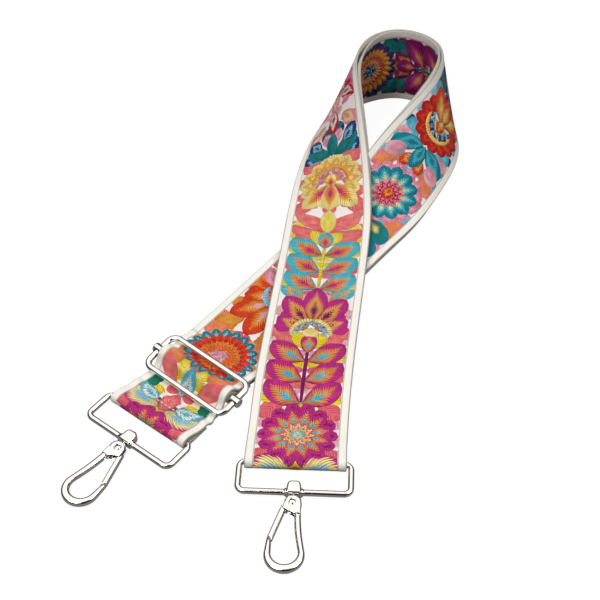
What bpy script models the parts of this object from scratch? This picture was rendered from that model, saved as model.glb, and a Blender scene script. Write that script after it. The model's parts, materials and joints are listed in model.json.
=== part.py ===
"""Detachable bag strap: one long woven band, doubled from its slider to the right-hand clasp, with a
swivelling snap hook at each end. It lies on a table in a loop whose far end stands on edge.

X runs across the view, Y away from it and Z up, with the origin under the middle of the whole strap.
"""

import math

import bmesh
import bpy
import numpy as np
from mathutils import Matrix, Vector
from mathutils.geometry import interpolate_bezier, intersect_line_line_2d

# The band
BAND_WIDTH = 0.050
BAND_THICKNESS = 0.0016
GAP = 0.0003  # left between pieces that touch
BAND_COLUMNS = 4

# Where the band lies: its resting edge at the crossing, and the three stretches from there
CROSSING_X = -0.0028
CROSSING_Y = 0.0353
FRONT_RUN = 0.1593  # right ring to the crossing
LOOP_SPAN = 0.150
PAIR_END = 0.00495  # from where the two runs' resting edges meet to the end of the doubled stretch
FRONT_RUN_DEG = 83.8
FRONT_RING_DEG = 87.4
FRONT_CROSSING_DEG = 83.4
SIDE_RUN_DEG = -126.8
SIDE_START_DEG = -127.1
SIDE_END_DEG = -128.0
CROSSING_RAMP = 0.030  # length over which the front run climbs onto the run beneath it
CROSSING_LEAD = 0.002
RUN_STEP = 0.009
RAMP_STEP = 0.0014
LOOP_STEP = 0.0055
CORNER_SLACK = 0.0018  # how far the inner layer stands off at the loop's two upper corners
SLACK_LENGTH = 0.022
SLACK_PLACE_SHARES = (0.40, 0.68)  # of the loop's length

# The loop: resting edge x and y (shares of LOOP_SPAN from the crossing), lift (share of the crossing's
# lift), how far the band has turned up on that edge (degrees), and its crown (share of BAND_WIDTH)
LOOP_SHARES = (
    (0.000, 0.000, 1.00, 0.0, 0.000),
    (0.006, 0.055, 1.00, 0.0, 0.000),
    (0.019, 0.164, 0.52, 8.8, -0.012),
    (0.043, 0.329, 0.12, 23.6, -0.012),
    (0.077, 0.493, 0.09, 37.8, 0.000),
    (0.128, 0.654, 0.08, 52.5, 0.020),
    (0.207, 0.803, 0.02, 69.0, 0.036),
    (0.331, 0.915, -0.17, 86.5, 0.026),
    (0.487, 0.967, -0.20, 93.5, 0.002),
    (0.631, 0.894, 0.14, 90.0, 0.008),
    (0.701, 0.744, 0.64, 81.5, 0.020),
    (0.724, 0.578, 1.12, 64.8, 0.032),
    (0.691, 0.413, 1.25, 47.5, 0.038),
    (0.619, 0.261, 0.80, 30.5, 0.060),
    (0.563, 0.163, 0.40, 17.5, 0.062),
    (0.499, 0.072, 0.09, 7.0, 0.038),
    (0.430, -0.015, 0.03, 1.0, 0.004),
    (0.363, -0.101, 0.00, 0.0, 0.000),
)

# Rings
RING_SPACING = 0.0172  # between the centres of its two long bars
RING_EDGE_CLEARANCE = 0.0008
RING_BAR = 0.0030
RING_CORNER = 0.0035
RING_FOLD_CORNER = 0.0005  # inside corners at the far bar, tight so that the fold fits its whole length
RING_ROUNDING = 0.0010
TABLE_CLEARANCE = 0.0001
BAR_RAMP = 0.025  # length over which the band comes down from the right ring's bar
BOSS_RADIUS = 0.0030
BOSS_INSIDE = 0.0035
BOSS_OUTSIDE = 0.0020
BOSS_ROUNDING = 0.0009
BOSS_COLLAR_RADIUS = 0.0021
BOSS_COLLAR_HALF = 0.0046
POST_RADIUS = 0.0012
RIVET_HEAD_RADIUS = 0.0026
RIVET_HEAD_HEIGHT = 0.0015
RIVET_SEAT = 0.0016  # length of the post inside the hook

# Hooks, in the plane of the hook: the gate is on the -x side, and y runs outward from the ring's near bar
HOOK_REACH = 0.0440
HOOK_THICKNESS = 0.0035
HOOK_ROUNDING = 0.0010
BOWL_RADIUS = 0.0095
BOWL_ASIDE = -0.0028
BOWL_FLOOR = 0.0042
HOOK_WIRE = 0.0032
SPINE_LEAN_DEG = 12.0
SPINE_ASIDE = 0.0039
SPINE_INNER_ASIDE = 0.0009
NOSE_LENGTH = 0.0091
NOSE_LEAN = 0.0010
NOTCH_RISE = 0.0023
HEAD_RADIUS = 0.0042
HEAD_THICKNESS = 0.0048
HEAD_ROUNDING = 0.0011
HEAD_ASIDE = -0.0001
HEAD_FROM_DEG = 165.0
HEAD_TO_DEG = 425.0
PIVOT_ASIDE = -0.0005
PIN_RADIUS = 0.0008
PIN_HEAD_RADIUS = 0.0017
PIN_HEAD_HEIGHT = 0.00025
TONGUE_RADIUS = 0.0020
TONGUE_THICKNESS = 0.0014
TONGUE_ROUNDING = 0.0002
TONGUE_LAP = 0.0024
LEVER_THICKNESS = 0.0031
LEVER_ROUNDING = 0.0008
LEVER_ASIDE = 0.00296  # from the gate's pivot to the lever's middle line
SHOULDER_CLEARANCE = 0.0003
SPRING_RADIUS = 0.00062
SPRING_WIRE = 0.0003
SPRING_TURNS = 3
SPRING_SEAT = 0.0009
SPRING_DROP = 0.0032  # from the gate's pivot to the spring's axis

# Slider
SLIDER_TO_RING = 0.0355  # from its centre bar to the left ring's far bar
SLIDER_REACH = 0.0160  # from its centre bar to where the doubled stretch starts
SLIDER_SPACING = 0.0222
SLIDER_BAR_WIDTH = 0.0033
SLIDER_BAR_HEIGHT = 0.0030
SLIDER_EDGE_CLEARANCE = 0.0005
SLIDER_CORNER = 0.0045
SLIDER_ROUNDING = 0.0010
SLIDER_SKEW_DEG = -2.5
SLIDER_LIFT = 0.0002
CENTRE_BAR_RADIUS = 0.0015
EYE_RADIUS = 0.0027
EYE_WALL = 0.0006
EYE_OUTER_WALL = 0.0011
EYE_ROUNDING = 0.0003
BAND_DRAW = 0.0008  # how far each edge of the band is drawn in between the slider's arms
SKEW_LENGTH = 0.0032
SLIDER_RAMP = 0.0055
REACH_LEAD = 0.0005
BIGHT_START_DEG = 52.0
BIGHT_END_DEG = 160.0
BIGHT_FOOT = 0.0092
BIGHT_HANDLE = 0.0034
SEWN_TAIL = 0.0145
TAIL_FOOT = 0.0075

# Sewn fold at the left ring
SEAM_FROM_FOLD = 0.0120
FOLD_TAIL = 0.0145
TAIL_STEP = 0.0046
FOLD_STEPS = 9
FOLD_END = 0.0200  # from the ring's bar to where the bight's own piece takes over

# Values that follow from the sizes above
LAYER = BAND_THICKNESS + GAP
LAYER_MID = BAND_THICKNESS / 2
PAIR_MID = LAYER_MID + LAYER / 2
CROSSING_LIFT = 2 * LAYER
FAR_BAR_HEIGHT = BAND_THICKNESS + GAP + RING_BAR / 2
WRAP_RADIUS = RING_BAR / 2 + GAP + LAYER_MID
RING_WIDTH = BAND_WIDTH + 2 * RING_EDGE_CLEARANCE + RING_BAR
CLASP_DROP = math.asin(
    (FAR_BAR_HEIGHT - BOSS_RADIUS - TABLE_CLEARANCE) / (RING_SPACING + BOSS_OUTSIDE)
)
SLIDER_WIDTH = BAND_WIDTH + 2 * SLIDER_EDGE_CLEARANCE + SLIDER_BAR_WIDTH
LOW_BAR_HEIGHT = LAYER + SLIDER_LIFT + SLIDER_BAR_HEIGHT / 2
HIGH_BAR_HEIGHT = 3 * LAYER + SLIDER_BAR_HEIGHT / 2
SLIDER_TILT = math.asin((HIGH_BAR_HEIGHT - LOW_BAR_HEIGHT) / SLIDER_SPACING)
CENTRE_BAR_HEIGHT = (HIGH_BAR_HEIGHT + LOW_BAR_HEIGHT) / 2
INNER_WRAP = CENTRE_BAR_RADIUS + GAP + LAYER_MID
OUTER_WRAP = INNER_WRAP + LAYER
HEAD_OUT = BOSS_OUTSIDE + GAP + HEAD_RADIUS
BOWL_OUT = HOOK_REACH - BOWL_RADIUS
UP = Vector((0, 0, 1))
WELD = GAP / 30  # points nearer than this are one point


def clear_scene():
    for obj in list(bpy.data.objects):
        bpy.data.objects.remove(obj, do_unlink=True)


def new_collection(name):
    collection = bpy.data.collections.new(name)
    bpy.context.scene.collection.children.link(collection)
    return collection


def principled(name, colour, metallic, roughness):
    material = bpy.data.materials.new(name)
    material.use_nodes = True
    shader = material.node_tree.nodes["Principled BSDF"]
    shader.inputs["Base Color"].default_value = (*colour, 1)
    shader.inputs["Metallic"].default_value = metallic
    shader.inputs["Roughness"].default_value = roughness
    return material


def metal(name):
    return principled(name, (0.86, 0.86, 0.87), 1.0, 0.12)


def fabric(name):
    return principled(name, (0.85, 0.42, 0.38), 0.0, 0.8)


def add_object(name, data, collection):
    obj = bpy.data.objects.new(name, data)
    collection.objects.link(obj)
    return obj


def as_mesh(source, collection):
    """A curve or a modified object made a plain welded mesh under the same name."""
    bpy.context.view_layer.update()
    graph = bpy.context.evaluated_depsgraph_get()
    data = bpy.data.meshes.new_from_object(source.evaluated_get(graph))
    name = source.name
    place = source.matrix_world.copy()
    bpy.data.objects.remove(source, do_unlink=True)
    bm = bmesh.new()
    bm.from_mesh(data)
    bmesh.ops.remove_doubles(bm, verts=bm.verts, dist=WELD)
    bm.to_mesh(data)
    bm.free()
    obj = add_object(name, data, collection)
    obj.matrix_world = place
    return obj


def plate(name, outlines, thickness, rounding, collection):
    """A flat outline given its thickness, with rounded rims. Further outlines are its holes."""
    curve = bpy.data.curves.new(name, "CURVE")
    curve.dimensions = "2D"
    curve.fill_mode = "BOTH"
    curve.extrude = thickness / 2 - rounding
    curve.bevel_depth = rounding
    curve.bevel_resolution = 2
    curve.offset = -rounding
    for points in outlines:
        spline = curve.splines.new("POLY")
        spline.points.add(len(points) - 1)
        for point, (x, y) in zip(spline.points, points):
            point.co = (x, y, 0, 1)
        spline.use_cyclic_u = True
    return as_mesh(add_object(name, curve, collection), collection)


def turned(name, profile, steps, collection):
    """A round piece from its profile of (radius, height), listed from its top end to its bottom end."""
    data = bpy.data.meshes.new(name)
    edges = [(i, i + 1) for i in range(len(profile) - 1)]
    data.from_pydata([(radius, 0, height) for radius, height in profile], edges, [])
    obj = add_object(name, data, collection)
    screw = obj.modifiers.new("Turn", "SCREW")
    screw.steps = screw.render_steps = steps
    screw.use_merge_vertices = True
    screw.merge_threshold = WELD
    screw.use_smooth_shade = True
    return obj


def box(name, size, collection):
    bpy.ops.mesh.primitive_cube_add(size=1)
    obj = bpy.context.object
    obj.name = name
    for holder in list(obj.users_collection):
        holder.objects.unlink(obj)
    collection.objects.link(obj)
    obj.data.transform(Matrix.Diagonal((*size, 1)))
    return obj


def cut_or_join(obj, other, operation):
    boolean = obj.modifiers.new(other.name, "BOOLEAN")
    boolean.operation = operation
    boolean.object = other
    boolean.solver = "EXACT"


def as_cutter(obj):
    obj.hide_render = True
    obj.display_type = "WIRE"
    return obj


def arc(centre, radius, start_deg, end_deg, steps):
    angles = np.radians(np.linspace(start_deg, end_deg, steps + 1))
    return [(centre[0] + radius * math.cos(a), centre[1] + radius * math.sin(a)) for a in angles]


def rounded_rectangle(width, height, top_radius, bottom_radius):
    """Points of a rectangle centred on the origin, each corner an arc."""
    points = []
    for start_deg, x_side, y_side in ((0, 1, 1), (90, -1, 1), (180, -1, -1), (270, 1, -1)):
        radius = top_radius if y_side > 0 else bottom_radius
        centre = (x_side * (width / 2 - radius), y_side * (height / 2 - radius))
        points += arc(centre, radius, start_deg, start_deg + 90, 4)
    return points


def bezier(start, start_handle, end_handle, end, steps):
    points = [Vector((*p, 0)) for p in (start, start_handle, end_handle, end)]
    return [(p.x, p.y) for p in interpolate_bezier(*points, steps + 1)]


def smooth_step(value):
    t = min(max(value, 0.0), 1.0)
    return t * t * (3 - 2 * t)


def direction(degrees):
    return Vector((math.cos(math.radians(degrees)), math.sin(math.radians(degrees)), 0))


def natural_spline(knots, values, places):
    """Values at places on the natural cubic through the knots."""
    knots = np.asarray(knots, float)
    values = np.asarray(values, float)
    step = np.diff(knots)
    slope = np.diff(values, axis=0) / step[:, None]
    matrix = np.eye(len(knots))
    right = np.zeros_like(values)
    for i in range(1, len(knots) - 1):
        matrix[i, i - 1 : i + 2] = step[i - 1], 2 * (step[i - 1] + step[i]), step[i]
        right[i] = 6 * (slope[i] - slope[i - 1])
    bend = np.linalg.solve(matrix, right)
    index = np.clip(np.searchsorted(knots, places) - 1, 0, len(step) - 1)
    h = step[index][:, None]
    a = (knots[index + 1][:, None] - places[:, None]) / h
    b = 1 - a
    curved = (a**3 - a) * bend[index] + (b**3 - b) * bend[index + 1]
    return a * values[index] + b * values[index + 1] + curved * h * h / 6


class Station:
    """One line across the band: its resting edge, the way to its other edge, and how each layer stands."""

    def __init__(self, edge, across, crown=0.0, outer_rise=0.0, inner_rise=0.0, slack=0.0):
        self.edge = edge
        self.across = across
        self.crown = crown
        self.outer_rise = outer_rise
        self.inner_rise = inner_rise
        self.slack = slack


def run_points(start, end, start_deg, end_deg, places):
    """Points and headings at these shares of one nearly straight stretch of the resting edge."""
    third = (end - start).length / 3
    corners = (start, start + direction(start_deg) * third, end - direction(end_deg) * third, end)
    points = []
    for t in places:
        weights = ((1 - t) ** 3, 3 * t * (1 - t) ** 2, 3 * t * t * (1 - t), t**3)
        point = sum((corner * weight for corner, weight in zip(corners, weights)), Vector())
        points.append((point, direction(start_deg + (end_deg - start_deg) * t)))
    return points


def front_run_start():
    crossing = Vector((CROSSING_X, CROSSING_Y, 0))
    return crossing - direction(FRONT_RUN_DEG) * FRONT_RUN


def loop_end():
    x_share, y_share = LOOP_SHARES[-1][:2]
    return Vector((CROSSING_X + x_share * LOOP_SPAN, CROSSING_Y + y_share * LOOP_SPAN, 0))


def runs_meeting():
    """Where the front run's resting edge crosses the side run's."""
    front = front_run_start()
    crossing = Vector((CROSSING_X, CROSSING_Y, 0))
    side = loop_end()
    beneath = side + direction(SIDE_RUN_DEG) * FRONT_RUN
    return Vector((*intersect_line_line_2d(front.xy, crossing.xy, side.xy, beneath.xy), 0))


def side_run_end():
    return runs_meeting() + direction(SIDE_RUN_DEG) * PAIR_END


def front_stations():
    start = front_run_start()
    crossing = Vector((CROSSING_X, CROSSING_Y, 0))
    climb_end = (runs_meeting() - start).length - CROSSING_LEAD
    places = np.linspace(0, 1, round(FRONT_RUN / RUN_STEP) + 1)[:-1]
    stations = []
    for point, heading in run_points(start, crossing, FRONT_RING_DEG, FRONT_CROSSING_DEG, places):
        done = (point - start).length
        climb = smooth_step((done - climb_end + CROSSING_RAMP) / CROSSING_RAMP)
        bar_rise = FAR_BAR_HEIGHT + WRAP_RADIUS - PAIR_MID - LAYER / 2
        over_bar = bar_rise * (1 - smooth_step(done / BAR_RAMP))
        edge = point + UP * (PAIR_MID + CROSSING_LIFT * climb)
        stations.append(Station(edge, heading.cross(UP), outer_rise=over_bar))
    return stations


def loop_stations():
    rows = np.array(LOOP_SHARES)
    places = np.column_stack(
        [
            CROSSING_X + rows[:, 0] * LOOP_SPAN,
            CROSSING_Y + rows[:, 1] * LOOP_SPAN,
            PAIR_MID + rows[:, 2] * CROSSING_LIFT,
        ]
    )
    knots = np.concatenate([[0], np.cumsum(np.linalg.norm(np.diff(places, axis=0), axis=1))])
    at = np.linspace(0, knots[-1], round(knots[-1] / LOOP_STEP) + 1)
    edges = natural_spline(knots, places, at)
    turns = natural_spline(knots, np.radians(rows[:, 3:4]), at)[:, 0]
    crowns = natural_spline(knots, rows[:, 4:5] * BAND_WIDTH, at)[:, 0]
    headings = np.gradient(edges, at, axis=0)
    stations = []
    for edge, heading, turn, crown, place in zip(edges, headings, turns, crowns, at):
        ahead = Vector(heading).normalized()
        aside = ahead.cross(UP).normalized()
        across = aside * math.cos(turn) + aside.cross(ahead) * math.sin(turn)
        off = [(place / knots[-1] - share) * knots[-1] / SLACK_LENGTH for share in SLACK_PLACE_SHARES]
        slack = CORNER_SLACK * sum(math.exp(-x * x) for x in off)
        stations.append(Station(Vector(edge), across, crown, slack=slack))
    return stations


def side_stations():
    start = loop_end()
    end = side_run_end()
    length = (end - start).length
    ramp = (SLIDER_RAMP + REACH_LEAD) / length
    level = np.linspace(0, 1 - ramp, round(length / RUN_STEP) + 1)
    falling = np.linspace(1 - ramp, 1, round(ramp * length / RAMP_STEP) + 1)
    places = [*level[1:-1], *falling]
    stations = []
    for point, heading in run_points(start, end, SIDE_START_DEG, SIDE_END_DEG, places):
        left = (end - point).length
        rise = LAYER * (1 - smooth_step((left - REACH_LEAD) / SLIDER_RAMP))
        edge = point + UP * PAIR_MID
        stations.append(Station(edge, heading.cross(UP), outer_rise=rise, inner_rise=rise))
    return stations


def layer_row(station, normal, offset, slack=0.0):
    """Points across the band on one layer's middle."""
    chord = BAND_WIDTH * (1 - 8 / 3 * (station.crown / BAND_WIDTH) ** 2)
    row = []
    for column in range(BAND_COLUMNS + 1):
        share = column / BAND_COLUMNS
        lift = station.crown * 4 * share * (1 - share) + offset - slack * share
        row.append(station.edge + station.across * (chord * share) + normal * lift)
    return row


def main_band_rows():
    """From beside the slider along the outer layer, round the right ring's far bar, and back inside."""
    stations = front_stations() + loop_stations() + side_stations()
    middles = [s.edge + s.across * (BAND_WIDTH / 2) for s in stations]
    outer = []
    inner = []
    for i, station in enumerate(stations):
        ahead = middles[min(i + 1, len(middles) - 1)] - middles[max(i - 1, 0)]
        normal = station.across.cross(ahead).normalized()
        outer.append(layer_row(station, normal, LAYER / 2 + station.outer_rise))
        inner.append(layer_row(station, normal, station.inner_rise - LAYER / 2, station.slack))
    foot = stations[0].edge.copy()
    foot.z = 0
    out = direction(FRONT_RING_DEG) * -1
    fold = []
    for step in range(1, FOLD_STEPS):
        angle = math.pi * (1 / 2 - step / FOLD_STEPS)
        height = FAR_BAR_HEIGHT + WRAP_RADIUS * math.sin(angle)
        edge = foot + out * (WRAP_RADIUS * math.cos(angle)) + UP * height
        fold.append(layer_row(Station(edge, stations[0].across), UP, 0.0))
    return outer[::-1] + fold + inner


def band_sheet(name, rows, collection):
    """An open sheet through the rows, given the band's thickness."""
    last_row = len(rows) - 1
    bm = bmesh.new()
    bmesh.ops.create_grid(bm, x_segments=last_row, y_segments=BAND_COLUMNS, size=1)
    for vert in bm.verts:
        row = round((vert.co.x + 1) / 2 * last_row)
        column = round((vert.co.y + 1) / 2 * BAND_COLUMNS)
        vert.co = rows[row][column]
    data = bpy.data.meshes.new(name)
    bm.to_mesh(data)
    bm.free()
    obj = add_object(name, data, collection)
    solidify = obj.modifiers.new("Thickness", "SOLIDIFY")
    solidify.thickness = BAND_THICKNESS
    solidify.offset = 0
    solidify.use_even_offset = True
    obj.data.materials.append(fabric(name))
    return obj


def slider_axes():
    """Foot of the centre bar on the table, the way along the band to the crossing, and the way across."""
    along = direction(SIDE_END_DEG) * -1
    across = UP.cross(along)
    foot = side_run_end() - along * SLIDER_REACH + across * (BAND_WIDTH / 2)
    return foot, along, across


def profile_rows(path):
    """Rows across the band for a path of (distance from the slider's bar, height) at its middle."""
    foot, along, across = slider_axes()
    bars = SLIDER_SPACING / 2 + SLIDER_BAR_WIDTH / 2
    rows = []
    for distance, height in path:
        room = SKEW_LENGTH if distance < 0 else SLIDER_REACH - bars
        near = 1 - smooth_step((abs(distance) - bars) / room)
        half = BAND_WIDTH / 2 - BAND_DRAW * near
        lean = -math.tan(math.radians(SLIDER_SKEW_DEG)) * near
        row = []
        for column in range(BAND_COLUMNS + 1):
            aside = half * (2 * column / BAND_COLUMNS - 1)
            row.append(foot + along * (distance + aside * lean) + across * aside + UP * height)
        rows.append(row)
    return rows


def bight_path():
    """The band going up between the slider's bars and over its centre bar, from the crossing's side."""
    centre = (0, CENTRE_BAR_HEIGHT)
    flat_height = LAYER_MID + 2 * LAYER
    over = arc(centre, OUTER_WRAP, BIGHT_START_DEG, BIGHT_END_DEG, 9)
    rise = direction(BIGHT_START_DEG + 90) * BIGHT_HANDLE
    fall = direction(BIGHT_END_DEG + 90) * BIGHT_HANDLE
    start = over[0]
    end = over[-1]
    foot_in = (BIGHT_FOOT, flat_height)
    foot_out = (-BIGHT_FOOT, LAYER_MID)
    up_handle = (start[0] - rise.x, start[1] - rise.y)
    up = bezier(foot_in, (BIGHT_FOOT - BIGHT_HANDLE, flat_height), up_handle, start, 7)
    down_handle = (end[0] + fall.x, end[1] + fall.y)
    down = bezier(end, down_handle, (BIGHT_HANDLE / 2 - BIGHT_FOOT, LAYER_MID), foot_out, 9)
    flat_in = [(x, flat_height) for x in np.linspace(SLIDER_REACH - GAP, BIGHT_FOOT, 4)[:-1]]
    flat_out = [(x, LAYER_MID) for x in np.linspace(-BIGHT_FOOT, GAP + FOLD_END - SLIDER_TO_RING, 4)[1:]]
    return flat_in + up[:-1] + over + down[1:] + flat_out, len(flat_in) + len(up) + len(over) - 1


def sewn_end_path():
    """The band's own end: under the bight, round the centre bar and back beneath itself."""
    bight, last_over = bight_path()
    path = []
    for i in range(last_over):
        before = Vector(bight[max(i - 1, 0)])
        after = Vector(bight[i + 1])
        ahead = (after - before).normalized()
        path.append((bight[i][0] - ahead.y * LAYER, bight[i][1] + ahead.x * LAYER))
    under = arc((0, CENTRE_BAR_HEIGHT), INNER_WRAP, BIGHT_END_DEG, 270, 8)
    low = under[-1]
    handle = TAIL_FOOT / 2
    low_handle = (low[0] + handle, low[1])
    down = bezier(low, low_handle, (TAIL_FOOT - handle, LAYER_MID), (TAIL_FOOT, LAYER_MID), 6)
    tail = [(x, LAYER_MID) for x in np.linspace(TAIL_FOOT, SEWN_TAIL, 4)[1:]]
    return path[:-1] + under + down[1:] + tail


def ring_end_path():
    """The single layer beside the slider, over the left ring's bar, round it, and its sewn-down tail."""
    bar = -SLIDER_TO_RING
    keys = (
        (0, FAR_BAR_HEIGHT + WRAP_RADIUS),
        (SEAM_FROM_FOLD, LAYER_MID + LAYER),
        (FOLD_TAIL, LAYER_MID + LAYER),
        (FOLD_TAIL + TAIL_STEP, LAYER_MID),
        (FOLD_END, LAYER_MID),
    )
    top = []
    for (near, high), (far, low) in zip(keys, keys[1:]):
        steps = 6 if abs(high - low) > GAP else 1
        for share in np.linspace(0, 1, steps + 1)[:-1]:
            top.append((bar + near + (far - near) * share, high + (low - high) * smooth_step(share)))
    top.append((bar + FOLD_END, LAYER_MID))
    fold = arc((bar, FAR_BAR_HEIGHT), WRAP_RADIUS, 90, 270, FOLD_STEPS)[1:-1]
    tail = [(bar + x, FAR_BAR_HEIGHT - WRAP_RADIUS) for x in np.linspace(0, FOLD_TAIL, 4)]
    return top[::-1] + fold + tail


def add_band(collection):
    band_sheet("band_main", main_band_rows(), collection)
    band_sheet("band_bight", profile_rows(bight_path()[0]), collection)
    band_sheet("band_sewn_end", profile_rows(sewn_end_path()), collection)
    band_sheet("band_ring_end", profile_rows(ring_end_path()), collection)


def empty_at(name, matrix, collection, parent=None):
    empty = add_object(name, None, collection)
    empty.parent = parent
    empty.matrix_local = matrix
    empty.empty_display_size = RING_BAR
    return empty


def axes_matrix(origin, x_axis, y_axis, z_axis):
    matrix = Matrix((x_axis, y_axis, z_axis)).transposed().to_4x4()
    matrix.translation = origin
    return matrix


def frame_outlines(width, height, bar, corner, bottom_corner):
    """Outer and inner outline of a rectangular frame, given between the centres of its bars."""
    outer_corner = corner + bar / 2
    outer = rounded_rectangle(width + bar, height + bar, outer_corner, outer_corner)
    inner = rounded_rectangle(width - bar, height - bar, corner - bar / 2, bottom_corner)
    return outer, inner[::-1]


def add_slider(collection, cutters):
    foot, along, across = slider_axes()
    turn = Matrix.Rotation(math.radians(SLIDER_SKEW_DEG), 3, "Z")
    along = turn @ along
    across = turn @ across
    tilted = along * math.cos(SLIDER_TILT) + UP * math.sin(SLIDER_TILT)
    matrix = axes_matrix(foot + UP * CENTRE_BAR_HEIGHT, tilted, across, tilted.cross(across))
    place = empty_at("slider_place", matrix, collection)

    inner_corner = SLIDER_CORNER - SLIDER_BAR_WIDTH / 2
    outlines = frame_outlines(SLIDER_SPACING, SLIDER_WIDTH, SLIDER_BAR_WIDTH, SLIDER_CORNER, inner_corner)
    frame = plate("slider_frame", outlines, SLIDER_BAR_HEIGHT, SLIDER_ROUNDING, collection)
    frame.parent = place
    frame.data.materials.append(metal("slider_frame"))

    arm = SLIDER_WIDTH / 2
    hole_half = SLIDER_BAR_WIDTH / 2 + GAP
    inner_face = arm - hole_half - EYE_WALL
    outer_face = arm + hole_half + EYE_OUTER_WALL
    rim = EYE_RADIUS - EYE_ROUNDING
    half_profile = [
        (0, outer_face),
        (rim, outer_face),
        (EYE_RADIUS, outer_face - EYE_ROUNDING),
        (EYE_RADIUS, inner_face + EYE_ROUNDING / 2),
        (EYE_RADIUS - EYE_ROUNDING / 2, inner_face),
        (CENTRE_BAR_RADIUS, inner_face),
    ]
    profile = half_profile + [(radius, -height) for radius, height in reversed(half_profile)]
    bar = turned("slider_centre_bar", profile, 20, collection)
    bar.parent = place
    bar.rotation_euler = (math.radians(-90), 0, 0)
    for side in (-1, 1):
        hole = box("slider_eye_hole", (EYE_RADIUS * 3, hole_half * 2, SLIDER_BAR_HEIGHT + 2 * GAP), cutters)
        hole.location = (0, side * arm, 0)
        hole.parent = place
        cut_or_join(bar, as_cutter(hole), "DIFFERENCE")
    bar.data.materials.append(metal("slider_centre_bar"))


def add_ring(name, hinge, collection, cutters):
    outlines = frame_outlines(RING_WIDTH, RING_SPACING, RING_BAR, RING_CORNER, RING_FOLD_CORNER)
    ring = plate(name, outlines, RING_BAR, RING_ROUNDING, collection)
    ring.data.transform(Matrix.Translation((0, RING_SPACING / 2, 0)))
    ring.parent = hinge
    ring.data.materials.append(metal(name))
    waist = BOSS_RADIUS - BOSS_ROUNDING
    boss_profile = (
        (0, BOSS_OUTSIDE),
        (waist, BOSS_OUTSIDE),
        (BOSS_RADIUS - BOSS_ROUNDING / 3, BOSS_OUTSIDE - BOSS_ROUNDING / 3),
        (BOSS_RADIUS, BOSS_OUTSIDE - BOSS_ROUNDING),
        (BOSS_RADIUS, BOSS_ROUNDING - BOSS_INSIDE),
        (BOSS_RADIUS - BOSS_ROUNDING / 3, BOSS_ROUNDING / 3 - BOSS_INSIDE),
        (waist, -BOSS_INSIDE),
        (0, -BOSS_INSIDE),
    )
    boss = turned(name + "_boss", boss_profile, 18, cutters)
    collar_profile = (
        (0, BOSS_COLLAR_HALF),
        (BOSS_COLLAR_RADIUS - RING_ROUNDING / 2, BOSS_COLLAR_HALF),
        (BOSS_COLLAR_RADIUS, BOSS_COLLAR_HALF - RING_ROUNDING / 2),
        (BOSS_COLLAR_RADIUS, RING_ROUNDING / 2 - BOSS_COLLAR_HALF),
        (BOSS_COLLAR_RADIUS - RING_ROUNDING / 2, -BOSS_COLLAR_HALF),
        (0, -BOSS_COLLAR_HALF),
    )
    collar = turned(name + "_collar", collar_profile, 12, cutters)
    reach = BOSS_INSIDE + BOSS_OUTSIDE
    bore_radius = POST_RADIUS + GAP
    bore_profile = ((0, reach), (bore_radius, reach), (bore_radius, -reach), (0, -reach))
    bore = turned(name + "_bore", bore_profile, 14, cutters)
    quarter = math.radians(-90)
    pieces = (
        (boss, (quarter, 0, 0), "UNION"),
        (collar, (0, quarter, 0), "UNION"),
        (bore, (quarter, 0, 0), "DIFFERENCE"),
    )
    for piece, rotation, operation in pieces:
        piece.parent = hinge
        piece.location = (0, RING_SPACING, 0)
        piece.rotation_euler = rotation
        cut_or_join(ring, as_cutter(piece), operation)


def add_swivel_rivet(name, swivel, collection):
    """A domed head inside the ring, and a post through its boss into the hook."""
    under = -BOSS_INSIDE - GAP
    top = under - RIVET_HEAD_HEIGHT
    profile = (
        (0, BOSS_OUTSIDE + GAP + RIVET_SEAT),
        (POST_RADIUS, BOSS_OUTSIDE + GAP + RIVET_SEAT),
        (POST_RADIUS, under),
        (RIVET_HEAD_RADIUS, under),
        (RIVET_HEAD_RADIUS, under - RIVET_HEAD_HEIGHT / 3),
        (RIVET_HEAD_RADIUS * math.cos(math.radians(25)), under - RIVET_HEAD_HEIGHT * 2 / 3),
        (RIVET_HEAD_RADIUS * math.cos(math.radians(50)), top),
        (0, top),
    )
    rivet = turned(name, profile, 16, collection)
    rivet.parent = swivel
    rivet.rotation_euler = (math.radians(-90), 0, 0)
    rivet.data.materials.append(metal(name))


def notch_points():
    """Outer and inner corner of the nose's sloping end."""
    bowl_left = BOWL_ASIDE - BOWL_RADIUS
    outer = Vector((bowl_left + NOSE_LEAN, BOWL_OUT - NOSE_LENGTH))
    inner = Vector((bowl_left + HOOK_WIRE, BOWL_OUT - NOSE_LENGTH + NOTCH_RISE))
    return outer, inner


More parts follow.
